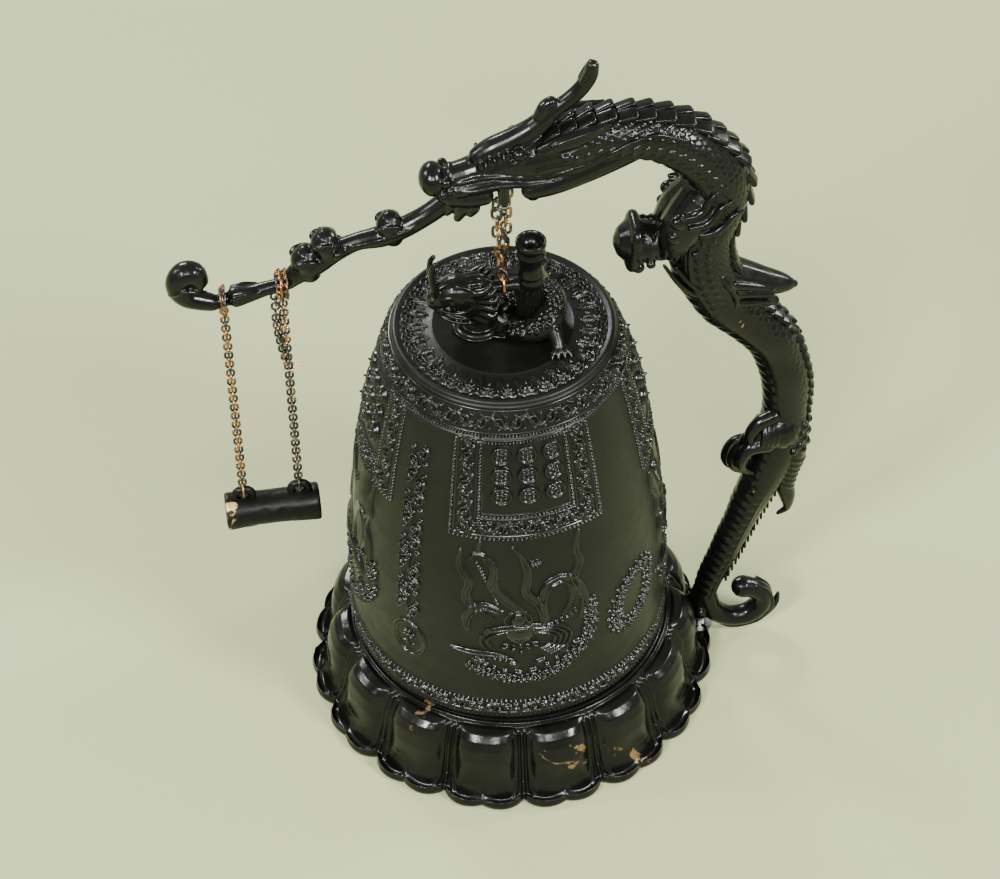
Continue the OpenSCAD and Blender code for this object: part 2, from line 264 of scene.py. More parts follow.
def noise(tree, scale, detail=4.0, rough=0.55, distortion=0.0):
    coords = tree.nodes.get("coords") or tree.nodes.new("ShaderNodeTexCoord")
    coords.name = "coords"
    n = tree.nodes.new("ShaderNodeTexNoise")
    n.inputs["Scale"].default_value = scale
    n.inputs["Detail"].default_value = detail
    n.inputs["Roughness"].default_value = rough
    n.inputs["Distortion"].default_value = distortion
    link(tree, coords.outputs["Object"], n.inputs["Vector"])
    return n.outputs["Fac"]


def ramp(tree, value, low, high, start=0.0, end=1.0):
    """The value spread from low..high to start..end, held at both ends."""
    n = tree.nodes.new("ShaderNodeMapRange")
    n.clamp = True
    for key, number in zip(("From Min", "From Max", "To Min", "To Max"), (low, high, start, end)):
        n.inputs[key].default_value = number
    link(tree, value, n.inputs["Value"])
    return n.outputs["Result"]


def maths(tree, kind, a, b):
    n = tree.nodes.new("ShaderNodeMath")
    n.operation = kind
    for socket, value in zip(n.inputs, (a, b)):
        if isinstance(value, (int, float)):
            socket.default_value = value
        else:
            link(tree, value, socket)
    return n.outputs[0]


def blend_colour(tree, share, a, b):
    n = tree.nodes.new("ShaderNodeMix")
    n.data_type = "RGBA"
    link(tree, share, n.inputs["Factor"])
    for socket, value in ((n.inputs[6], a), (n.inputs[7], b)):
        if isinstance(value, tuple):
            socket.default_value = (*value, 1)
        else:
            link(tree, value, socket)
    return n.outputs[2]


def bumps(tree, shader, layers):
    """Chains bump layers of (height, strength, distance in millimetres)."""
    last = None
    for height, strength, distance in layers:
        n = tree.nodes.new("ShaderNodeBump")
        n.inputs["Strength"].default_value = strength
        n.inputs["Distance"].default_value = distance * MM
        link(tree, height, n.inputs["Height"])
        if last is not None:
            link(tree, last, n.inputs["Normal"])
        last = n.outputs["Normal"]
    link(tree, last, shader.inputs["Normal"])


def painted_metal(name, paint, mottle_and_highlight_tone, metal, gloss, wear, edge, lumps, grain=0.35, shine=0.19):
    """Black paint over metal: two paint tones mottled together (the lighter second tone of the
    bell's relief is a painted highlight), bare metal where it is worn and along sharp edges.

    gloss is the least and most roughness, wear the noise level above which the metal shows (1
    never), edge how sharp an edge has to be to show it (1 never), and lumps the size of the cast
    bumps in mm.
    """
    material, tree, shader = node_tree(name)
    cloud = noise(tree, 60, 5)
    fine = noise(tree, 900, 3)
    body = blend_colour(tree, ramp(tree, cloud, 0.35, 0.7), paint, mottle_and_highlight_tone)
    geometry = tree.nodes.new("ShaderNodeNewGeometry")
    sharp = ramp(tree, geometry.outputs["Pointiness"], edge, min(edge + 0.08, 1.5))
    patch = ramp(tree, noise(tree, 38, 8, 0.62, 0.6), wear, wear + 0.035)
    rub = maths(tree, "MULTIPLY", sharp, ramp(tree, noise(tree, 150, 4), 0.5, 0.62))
    bare = maths(tree, "MAXIMUM", patch, rub)
    link(tree, blend_colour(tree, bare, body, metal), shader.inputs["Base Color"])
    link(tree, ramp(tree, bare, 0, 1, 0.0, 0.9), shader.inputs["Metallic"])
    rough = ramp(tree, noise(tree, 220, 4), 0.3, 0.7, gloss[0], gloss[1])
    link(tree, maths(tree, "ADD", rough, ramp(tree, bare, 0, 1, 0.0, 0.1)),
        shader.inputs["Roughness"])
    shader.inputs["Specular IOR Level"].default_value = shine
    bumps(tree, shader, [(noise(tree, 1000 / lumps, 3), 0.5, lumps * 0.06), (fine, grain, 0.05)])
    return material


def wire_metal(name, metal, paint, cover, rough=0.3):
    """Drawn wire with patches of black paint; cover is the noise level where the paint starts."""
    material, tree, shader = node_tree(name)
    patch = ramp(tree, noise(tree, 260, 4, 0.6), cover - 0.03, cover + 0.03)
    tint = ramp(tree, noise(tree, 700, 2), 0.35, 0.65)
    bright = blend_colour(tree, tint, metal, tuple(0.62 * c for c in metal))
    link(tree, blend_colour(tree, patch, bright, paint), shader.inputs["Base Color"])
    link(tree, ramp(tree, patch, 0, 1, 1.0, 0.0), shader.inputs["Metallic"])
    link(tree, ramp(tree, noise(tree, 1200, 2), 0.3, 0.7, rough - 0.08, rough + 0.12),
        shader.inputs["Roughness"])
    bumps(tree, shader, [(noise(tree, 1500, 2), 0.3, 0.04)])
    return material


def plain_metal(name, colour, rough):
    """Turned steel with faint streaks."""
    material, tree, shader = node_tree(name)
    streak = noise(tree, 900, 3)
    link(tree, blend_colour(tree, streak, colour, tuple(0.7 * c for c in colour)),
        shader.inputs["Base Color"])
    shader.inputs["Metallic"].default_value = 1.0
    link(tree, ramp(tree, streak, 0.3, 0.7, rough - 0.08, rough + 0.1), shader.inputs["Roughness"])
    bumps(tree, shader, [(streak, 0.2, 0.03)])
    return material


def felt_cloth(name, colour):
    material, tree, shader = node_tree(name)
    fibre = noise(tree, 1500, 6, 0.8)
    link(tree, blend_colour(tree, fibre, colour, tuple(1.8 * c for c in colour)),
        shader.inputs["Base Color"])
    shader.inputs["Roughness"].default_value = 0.95
    shader.inputs["Sheen Weight"].default_value = 0.3
    bumps(tree, shader, [(fibre, 0.8, 0.2)])
    return material


BRASS = (0.27, 0.17, 0.08)
COPPER = (0.36, 0.18, 0.075)
BLACK, CHARCOAL = (0.0016, 0.0017, 0.0015), (0.0036, 0.0038, 0.0033)
SOOT = (0.0045, 0.0042, 0.0036)
cast_black = painted_metal("cast_black", BLACK, CHARCOAL, BRASS, (0.14, 0.32), 0.80, 0.64, 2.2)
base_black = painted_metal("base_black", BLACK, CHARCOAL, BRASS, (0.14, 0.30), 0.665, 0.57, 3.2)
bell_satin = painted_metal("bell_satin", (0.0026, 0.0029, 0.0024), (0.0042, 0.0046, 0.0038), BRASS,
    (0.34, 0.44), 0.84, 0.74, 2.6, 0.2, 0.17)
# The relief's second tone is lighter than the wall's: a painted highlight on the raised ornament.
# Its lower roughness, higher shine and worn edges are real.
bell_relief_painted_highlight = painted_metal("bell_relief_painted_highlight", (0.0026, 0.0029, 0.0024), (0.0054, 0.0059, 0.005), BRASS,
    (0.15, 0.28), 0.84, 0.74, 1.2, 0.2, 0.30)
log_black = painted_metal("log_black", BLACK, CHARCOAL, (0.50, 0.36, 0.16), (0.30, 0.46), 0.60,
    0.52, 1.6, 0.35, 0.13)
chain_copper = wire_metal("chain_copper", COPPER, SOOT, 0.49)
chain_bell = wire_metal("chain_bell", COPPER, SOOT, 0.46)
chain_dark = wire_metal("chain_dark", (0.42, 0.24, 0.11), SOOT, 0.44)
tie_copper = wire_metal("tie_copper", (0.85, 0.50, 0.22), (0.02, 0.015, 0.01), 0.75)
steel_grey = plain_metal("steel_grey", (0.42, 0.43, 0.42), 0.34)
felt_green = felt_cloth("felt_green", (0.010, 0.028, 0.016))


def recoat(node, material):
    """Gives a carried-over CAD node its finish."""
    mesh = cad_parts[node].data
    mesh.materials.clear()
    mesh.materials.append(material)


# ---------------------------------------------------------------- camera, floor and light
def make_camera():
    turn, tilt, roll = math.radians(-8), math.radians(46.98), math.radians(-1.13)
    right = Vector((math.cos(turn), math.sin(turn), 0))
    back = Vector((math.sin(turn) * math.cos(tilt), -math.cos(turn) * math.cos(tilt),
        math.sin(tilt)))
    up = back.cross(right)
    target = (right * -3.03 + Vector((0, 0, 124.97))) * MM
    level_right, level_up = right.copy(), up.copy()
    right = level_right * math.cos(roll) + level_up * math.sin(roll)
    up = level_up * math.cos(roll) - level_right * math.sin(roll)
    data = bpy.data.cameras.new("camera")
    data.lens, data.sensor_width = 115.2, 36
    data.clip_start, data.clip_end = 0.05, 50
    camera = bpy.data.objects.new("camera", data)
    bpy.context.scene.collection.objects.link(camera)
    place = Matrix((right, up, back)).transposed().to_4x4()
    place.translation = target + back * 1.2
    camera.matrix_world = place
    bpy.context.scene.camera = camera


def area_light(name, place, aim, size, power, colour=(1, 1, 1)):
    data = bpy.data.lights.new(name, "AREA")
    data.shape = "RECTANGLE"
    data.size, data.size_y = size
    data.energy = power
    data.color = colour
    light = bpy.data.objects.new(name, data)
    light.location = place
    light.rotation_euler = (Vector(aim) - Vector(place)).to_track_quat("-Z", "Y").to_euler()
    bpy.context.scene.collection.objects.link(light)


def make_stage():
    steps = 40
    side = np.linspace(-3000, 3000, steps)
    x, y = np.meshgrid(side, side, indexing="ij")
    floor = make_mesh("floor", np.stack([x, y, 0 * x], -1).reshape(-1, 3), grid_faces(steps, steps))
    material, tree, shader = node_tree("floor_paper")
    link(tree, blend_colour(tree, noise(tree, 3, 2), (0.262, 0.292, 0.152), (0.281, 0.313, 0.163)),
        shader.inputs["Base Color"])
    shader.inputs["Roughness"].default_value = 0.75
    floor.data.materials.append(material)
    world = bpy.data.worlds.new("room")
    world.use_nodes = True
    world.node_tree.nodes["Background"].inputs["Color"].default_value = (0.80, 0.84, 0.76, 1)
    world.node_tree.nodes["Background"].inputs["Strength"].default_value = 0.75
    bpy.context.scene.world = world
    area_light("window_left", (-1.0, -1.05, 1.35), (0, 0, 0.12), (0.34, 0.34), 58, (1, 0.99, 0.95))
    area_light("window_right", (1.05, -0.95, 1.25), (0, 0, 0.12), (0.34, 0.34), 56, (1, 0.99, 0.95))
    area_light("window_front", (-0.1, -1.6, 1.55), (0, 0, 0.1), (0.7, 0.2), 37, (1, 1, 0.97))
    area_light("window_back", (-0.6, 1.6, 1.3), (0, 0, 0.12), (0.5, 0.3), 38, (0.97, 1, 0.97))
    area_light("window_far_left", (-1.6, 0.4, 1.1), (0, 0, 0.12), (0.3, 0.4), 24, (1, 1, 0.97))
    area_light("window_far_right", (1.6, 0.5, 1.0), (0, 0, 0.12), (0.3, 0.4), 24, (1, 1, 0.97))


make_camera()
make_stage()


# ---------------------------------------------------------------- relief drawn as a height field
GROUND = -0.2
DEPTH = 1.65
SPREAD = 1.22


class Relief:
    """A sheet of heights in mm, u across and v up, on which strokes and beads are raised."""

    def __init__(self, u0, u1, v0, v1, step=0.3):
        self.u = np.linspace(u0, u1, int(round((u1 - u0) / step)) + 1)
        self.v = np.linspace(v0, v1, int(round((v1 - v0) / step)) + 1)
        self.h = np.full((len(self.v), len(self.u)), GROUND)

    def window(self, low, high):
        i = slice(*np.searchsorted(self.u, (low[0], high[0])))
        j = slice(*np.searchsorted(self.v, (low[1], high[1])))
        return i, j

    def lift(self, i, j, share, height):
        """Raises a window to a dome: share is 0 at the middle and 1 at the foot."""
        dome = GROUND + (DEPTH * height - GROUND) * np.sqrt(np.clip(1 - share * share, 0, 1))
        self.h[j, i] = np.maximum(self.h[j, i], np.where(share < 1, dome, GROUND))

    def stroke(self, points, radius, height, ends=1.0, step=0.8, curve=True):
        """A rounded line; ends is the radius and height factor at its two ends."""
        p = smooth_line(points, step) if curve and len(points) > 2 else np.array(points, float)
        n = len(p)
        for k in range(n - 1):
            a, b = p[k], p[k + 1]
            share = abs(2 * (k + 0.5) / (n - 1) - 1)
            size = 1 - (1 - ends) * share ** 2
            r, top = SPREAD * radius * size, height * (0.5 + 0.5 * size)
            low, high = np.minimum(a, b) - r, np.maximum(a, b) + r
            i, j = self.window(low, high)
            if i.start >= i.stop or j.start >= j.stop:
                continue
            u, v = np.meshgrid(self.u[i], self.v[j])
            d = b - a
            t = np.clip(((u - a[0]) * d[0] + (v - a[1]) * d[1]) / (d @ d + 1e-12), 0, 1)
            away = np.hypot(u - a[0] - t * d[0], v - a[1] - t * d[1])
            self.lift(i, j, away / r, top)

    def bead(self, u, v, radius, height, stretch=1.0, angle=0.0):
        reach = radius * max(stretch, 1)
        i, j = self.window((u - reach, v - reach), (u + reach, v + reach))
        if i.start >= i.stop or j.start >= j.stop:
            return
        x, y = np.meshgrid(self.u[i] - u, self.v[j] - v)
        c, s = math.cos(angle), math.sin(angle)
        self.lift(i, j, np.hypot((c * x + s * y) / stretch, c * y - s * x) / radius, height)

    def beads(self, points, pitch, radius, height):
        line = smooth_line(points, 0.5) if len(points) > 2 else np.array(points, float)
        gone = np.concatenate([[0], np.cumsum(np.hypot(*np.diff(line, axis=0).T))])
        for g in np.linspace(0, gone[-1], max(2, int(gone[-1] / pitch) + 1)):
            self.bead(np.interp(g, gone, line[:, 0]), np.interp(g, gone, line[:, 1]), radius,
                height)

    def spiral(self, u, v, radius, turns, start, hand, width, height, inner=0.18):
        a = np.linspace(0, 1, max(8, int(14 * turns)))
        r = radius * (1 - (1 - inner) * a)
        angle = start + hand * a * turns * 2 * np.pi
        self.stroke(np.stack([u + r * np.cos(angle), v + r * np.sin(angle)], 1), width, height, 0.7,
            curve=False)

    def flower(self, u, v, radius, height, petals=5, turn=0.0):
        self.bead(u, v, radius * 0.34, height * 1.15)
        for k in range(petals):
            a = turn + 2 * np.pi * k / petals
            self.bead(u + 0.66 * radius * np.cos(a), v + 0.66 * radius * np.sin(a), radius * 0.26,
                height, 1.5, a)

    def arc(self, u, v, ru, rv, start, end, width, height, ends=1.0):
        a = np.radians(np.linspace(start, end, max(6, int(abs(end - start) / 12))))
        self.stroke(np.stack([u + ru * np.cos(a), v + rv * np.sin(a)], 1), width, height, ends,
            curve=False)


def sheet_mesh(relief, place):
    """A closed sheet: place(u, v, h) puts its heights on a surface, with a flat back under it."""
    u, v = np.meshgrid(relief.u, relief.v)
    front = place(u.ravel(), v.ravel(), relief.h.ravel())
    back = place(u.ravel(), v.ravel(), np.full(u.size, GROUND - 0.25))
    rows, cols = u.shape
    n = rows * cols
    quads = grid_faces(rows, cols)
    flipped = quads[:, ::-1] + n
    ids = np.arange(n).reshape(rows, cols)
    edge = np.concatenate([ids[0, :-1], ids[:-1, -1], ids[-1, :0:-1], ids[:0:-1, 0]])
    after = np.roll(edge, -1)
    walls = np.stack([after, edge, edge + n, after + n], 1)
    return np.vstack([front, back]), np.vstack([quads, flipped, walls])


# ---------------------------------------------------------------- the bell
WALL = np.array([[LIP_R, LIP_Z], [LIP_R + 0.6, LIP_Z + 1.2], [LIP_R + 0.3, LIP_Z + 2.6],
    [LIP_R + 0.3, 52], [60.4, 53], [60.2, 70], [59.3, 92], [57.4, 112], [54.6, 131], [51.2, 149],
    [47.6, 165], [45.4, 173], [44.9, 174], [43, 180.5], [TOP_R + 1.4, 185], [TOP_R, TOP_Z]])
NOMINAL_R = 50.0


def wall_radius(z):
    """Radius of the bell's plain wall at a height, rounded over the outline's corners."""
    z = np.asarray(z, float)
    return sum(np.interp(z + shift, WALL[:, 1], WALL[:, 0]) for shift in (-2, -1, 0, 1, 2)) / 5


def on_wall(u, z, h):
    """A point h above the wall: u is azimuth times the nominal radius, in mm.

    The relief is beaten flat where the log strikes, on the -X side.
    """
    a = u / NOMINAL_R
    struck = np.exp(-(((a + np.pi / 2) * 4) ** 2 + ((z - 105) / 14) ** 2) ** 2)
    h = np.where(h > 0, h * (1 - 0.93 * struck), h)
    slope = (wall_radius(z + 0.5) - wall_radius(z - 0.5))
    lean = np.sqrt(1 + slope * slope)
    r = wall_radius(z) + h / lean
    return np.stack([BELL_X + r * np.sin(a), -r * np.cos(a), z - h * slope / lean], -1)


def on_top(u, v, h):
    """A point h above the top disc: v is the distance from the axis, and u as on the wall."""
    a = u / NOMINAL_R
    return np.stack([BELL_X + v * np.sin(a), -v * np.cos(a), TOP_Z + h], -1)


def raised_line(outline_z, at, width, height):
    return height * np.exp(-((outline_z - at) / width) ** 4)


def make_bell():
    z = np.concatenate([np.linspace(LIP_Z, LIP_Z + 14, 70), np.linspace(LIP_Z + 14.3, 172, 150),
        np.linspace(172.3, TOP_Z - 1.6, 60)])
    r = wall_radius(z)
    foot = LIP_Z + 3
    r = np.where(z < foot, np.interp(z, WALL[:, 1], WALL[:, 0]), r)
    for at, width, height in ((LIP_Z + 11.8, 0.45, 0.35), (173.2, 0.6, 0.45), (185.2, 0.5, 0.4)):
        r = r + raised_line(z, at, width, height)
    outer = np.stack([r, z], 1)
    shoulder = [(TOP_R + 0.95, TOP_Z - 1.2), (TOP_R + 0.7, TOP_Z - 0.5), (TOP_R + 0.2,
        TOP_Z - 0.12), (TOP_R - 0.4, TOP_Z), (TOP_R - 0.9, TOP_Z - 0.05),
        (TOP_R - 1.3, TOP_Z - 0.45), (TOP_R - 2.4, TOP_Z - 0.5), (26.6, TOP_Z - 0.5),
        (26.2, TOP_Z - 0.3), (25.7, TOP_Z - 0.05), (25.2, TOP_Z - 0.3), (24.8, TOP_Z - 0.5),
        (12, TOP_Z - 0.5), (2.3, TOP_Z - 0.5)]
    inner_roof = TOP_Z - 4
    hollow = smooth_line([(2.3, inner_roof), (20, inner_roof), (34, inner_roof - 0.4),
        (38, inner_roof - 2.5), (41, 173), (47.2, 149), (50.9, 131), (53.9, 112), (55.7, 92),
        (56.2, 70), (55.4, 52), (54.6, LIP_Z + 2), (54.9, LIP_Z)], 3)
    lip = [(56.5, LIP_Z - 0.0), (58.5, LIP_Z)]
    outline = np.vstack([outer, shoulder, hollow, lip])
    verts, faces = revolve(outline, 288, closed=True)
    verts[:, 0] += BELL_X
    build("bell_body", verts, faces[:, ::-1], bell_satin, "bell", "bell_bronze", ["bell_shell"])


def vine(relief, u0, u1, v0, v1, cell, height, flip=False):
    """A scrolling vine between v0 and v1: a wavy stem with a curl, leaves and buds in each bend."""
    middle, half = (v0 + v1) / 2, (v1 - v0) / 2
    count = max(2, int(round((u1 - u0) / cell)))
    pitch = (u1 - u0) / count
    wave = np.linspace(u0, u1, count * 6 + 1)
    sway = half * 0.62 * np.cos((wave - u0) / pitch * np.pi + (np.pi if flip else 0))
    relief.stroke(np.stack([wave, middle + sway], 1), 0.46, height * 0.7, curve=False)
    for k in range(count):
        sign = 1 if (k % 2 == 0) != flip else -1
        cu = u0 + (k + 0.5) * pitch
        relief.spiral(cu + 0.1 * pitch, middle, half * 0.72, 1.1, -sign * np.pi / 2, sign, 0.46,
            height, 0.3)
        relief.bead(cu + 0.1 * pitch, middle, 0.75, height * 1.15)
        for turn, reach in ((0.35, 0.8), (1.15, 0.86), (2.1, 0.84)):
            angle = sign * (np.pi / 2 + turn * 1.1)
            relief.bead(cu + 0.62 * pitch * np.cos(angle) * 0.8,
                middle + half * reach * np.sin(angle), 0.62, height * (0.8 + 0.3 * rng.random()),
                1.7, angle + 0.6 * sign)
        relief.bead(cu - 0.42 * pitch, middle - sign * half * 0.6, 0.6, height, 1.4, 0.7 * sign)
        relief.bead(cu + 0.45 * pitch, middle + sign * half * 0.72, 0.45, height * 0.9)


class Turned:
    """Draws on a relief with u and v exchanged, for a strip that runs upwards."""

    def __init__(self, relief, mirror=1):
        self.relief, self.mirror = relief, mirror

    def stroke(self, points, *rest, **named):
        self.relief.stroke(np.array(points)[:, ::-1], *rest, **named)

    def spiral(self, u, v, radius, turns, start, hand, width, height, inner=0.18):
        self.relief.spiral(v, u, radius, turns, np.pi / 2 - start, -hand, width, height, inner)

    def bead(self, u, v, radius, height, stretch=1.0, angle=0.0):
        self.relief.bead(v, u, radius, height, stretch, np.pi / 2 - angle)


def boss_panel(name, azimuth):
    """A square frame of vine between bead lines, hung from the shoulder, round nine bosses."""
    middle = azimuth / 180 * np.pi * NOMINAL_R
    half, low, high = 27.2, 130.2, 173.6
    strip = 7.4
    relief = Relief(middle - half - 1, middle + half + 1, low - 1, high + 0.6, 0.27)
    for inset, pitch, size in ((0.4, 1.5, 0.6), (strip + 2.9, 1.4, 0.55)):
        left, right, bottom = middle - half + inset, middle + half - inset, low + inset
        for points in ([(left, high), (left, bottom)], [(right, high), (right, bottom)],
                [(left, bottom), (right, bottom)]):
            relief.beads(points, pitch, size, 0.62)
    for inset in (1.6, strip + 1.8, strip + 4.0):
        left, right, bottom = middle - half + inset, middle + half - inset, low + inset
        relief.stroke([(left, high), (left, bottom), (right, bottom), (right, high)], 0.3, 0.34,
            curve=False)
    inner, outer = strip + 1.2, 2.2
    vine(Turned(relief), low + outer, high, middle - half + outer, middle - half + inner, 5.6, 0.75)
    vine(Turned(relief), low + outer, high, middle + half - inner, middle + half - outer, 5.6, 0.75,
        True)
    vine(relief, middle - half + inner, middle + half - inner, low + outer, low + inner, 5.6, 0.75)
    relief.stroke([(middle - half, high - 0.6), (middle + half, high - 0.6)], 0.35, 0.4,
        curve=False)
    relief.beads([(middle - half, high - 1.7), (middle + half, high - 1.7)], 1.35, 0.45, 0.55)
    for column in (-1, 0, 1):
        for z in (150.2, 158.7, 167.2):
            boss(relief, middle + 0.8 + column * 9.6, z)
    verts, faces = sheet_mesh(relief, on_wall)
    build(name, verts, faces, bell_relief_painted_highlight, "bell", "bell_bronze")


def boss(relief, u, v):
    """A round boss: ringed foot, a ring of petals and a blunt middle."""
    relief.bead(u, v, 3.5, 0.75)
    relief.arc(u, v, 3.25, 3.15, 0, 360, 0.5, 1.0)
    for k in range(6):
        a = 2 * np.pi * k / 6 + 0.5
        relief.bead(u + 1.75 * np.cos(a), v + 1.7 * np.sin(a), 0.62, 1.2)
    relief.bead(u, v, 0.8, 1.8)


def shoulder_band():
    half = np.pi * NOMINAL_R
    relief = Relief(-half, half, 173.9, 186.2, 0.28)
    relief.beads([(-half, 174.6), (half, 174.6)], 1.35, 0.5, 0.6)
    relief.stroke([(-half, 175.6), (half, 175.6)], 0.3, 0.35, curve=False)
    vine(relief, -half, half, 176.2, 183.7, 7.2, 0.8)
    relief.stroke([(-half, 184.2), (half, 184.2)], 0.32, 0.4, curve=False)
    verts, faces = sheet_mesh(relief, on_wall)
    build("bell_shoulder_band", verts, faces, bell_relief_painted_highlight, "bell", "bell_bronze")


def lower_band():
    half = np.pi * NOMINAL_R
    relief = Relief(-half, half, LIP_Z + 1.6, LIP_Z + 12, 0.28)
    for height, size in ((2.5, 0.5), (10.6, 0.58)):
        relief.beads([(-half, LIP_Z + height), (half, LIP_Z + height)], 1.5, size, 0.65)
    relief.stroke([(-half, LIP_Z + 3.5), (half, LIP_Z + 3.5)], 0.3, 0.35, curve=False)
    vine(relief, -half, half, LIP_Z + 4, LIP_Z + 9.6, 5.6, 0.8)
    verts, faces = sheet_mesh(relief, on_wall)
    build("bell_lower_band", verts, faces, bell_relief_painted_highlight, "bell", "bell_bronze")


def lotus_ring():
    """Petals round the top disc: a cell between radial bars, with a scalloped double tip."""
    half = np.pi * NOMINAL_R
    relief = Relief(-half, half, 27.2, 38.6, 0.25)
    count = 30
    pitch = 2 * half / count
    for k in range(count):
        c = -half + (k + 0.5) * pitch
        relief.stroke([(c - pitch / 2, 28), (c - pitch / 2, 34.2)], 0.55, 0.42, curve=False)
        for size, tip, height in ((0.40, 35.6, 0.5), (0.30, 34.0, 0.42)):
            w = size * pitch
            relief.stroke([(c - w, 29), (c - w * 1.02, 32), (c - w * 0.8, tip - 0.8),
                (c - w * 0.35, tip), (c, tip - 0.7), (c + w * 0.35, tip), (c + w * 0.8, tip - 0.8),
                (c + w * 1.02, 32), (c + w, 29)], 0.4, height)
        relief.bead(c, 30.6, 0.9, 0.4, 1.5, np.pi / 2)
        relief.stroke([(c - pitch / 2, 36.0), (c - pitch * 0.25, 37.3), (c, 36.7),
            (c + pitch * 0.25, 37.3), (c + pitch / 2, 36.0)], 0.36, 0.42)
    verts, faces = sheet_mesh(relief, lambda u, v, h: on_top(u, v, h - 0.5))
    build("bell_top_lotus", verts, faces, bell_relief_painted_highlight, "bell", "bell_bronze")


def wreath(name, azimuth, z, tilt):
    """An oval wreath of flower clusters round a plain field."""
    middle = azimuth / 180 * np.pi * NOMINAL_R
    relief = Relief(middle - 14, middle + 14, z - 19, z + 19, 0.27)
    c, s = math.cos(tilt), math.sin(tilt)
    for k in range(22):
        a = 2 * np.pi * k / 22
        for ru, rv, size, height in ((8.4, 13.4, 1.9, 0.8), (5.6, 10.0, 0.75, 0.6),
                (11.0, 16.2, 0.75, 0.6)):
            shift = 0 if size > 1 else np.pi / 22
            x, y = ru * np.cos(a + shift), rv * np.sin(a + shift)
            u, v = middle + c * x - s * y, z + s * x + c * y
            if size > 1:
                relief.flower(u, v, size, height + 0.2 * (k % 2), 5, a)
            else:
                relief.bead(u, v, size, height, 1.5, a)
    verts, faces = sheet_mesh(relief, on_wall)
    build(name, verts, faces, bell_relief_painted_highlight, "bell", "bell_bronze")


def cloud_column(name, azimuth):
    """A column of cloud curls, a new pair in each cell, and a small ringed flower under it."""
    middle = azimuth / 180 * np.pi * NOMINAL_R
    relief = Relief(middle - 8, middle + 8, 57, 166, 0.27)
    for k in range(8):
        z = 158.5 - k * 10.4
        side = 1 if k % 2 else -1
        for way in (-1, 1):
            relief.spiral(middle + way * side * 1.7, z - way * 1.9, 2.5, 1.3, -way * np.pi / 2,
                side, 0.55, 0.95)
            relief.bead(middle - way * side * 3.0, z - way * 2.6, 0.8, 0.9, 1.6, 0.6 * side)
        relief.flower(middle + side * 0.6, z - 5.2, 1.5, 0.9, 4, 0.4)
    for size, height in ((1.0, 0.5), (0.84, 0.3)):
        relief.arc(middle, 67, 6.2 * size, 9.0 * size, 0, 360, 0.4, height)
    relief.flower(middle, 69, 2.4, 0.8, 6, 0.3)
    relief.stroke([(middle, 66.5), (middle - 0.6, 64), (middle + 0.3, 62)], 0.4, 0.6)
    for side in (-1, 1):
        relief.bead(middle + side * 1.7, 64.3, 0.55, 0.6, 1.9, side * 0.7)
    verts, faces = sheet_mesh(relief, on_wall)
    build(name, verts, faces, bell_relief_painted_highlight, "bell", "bell_bronze")


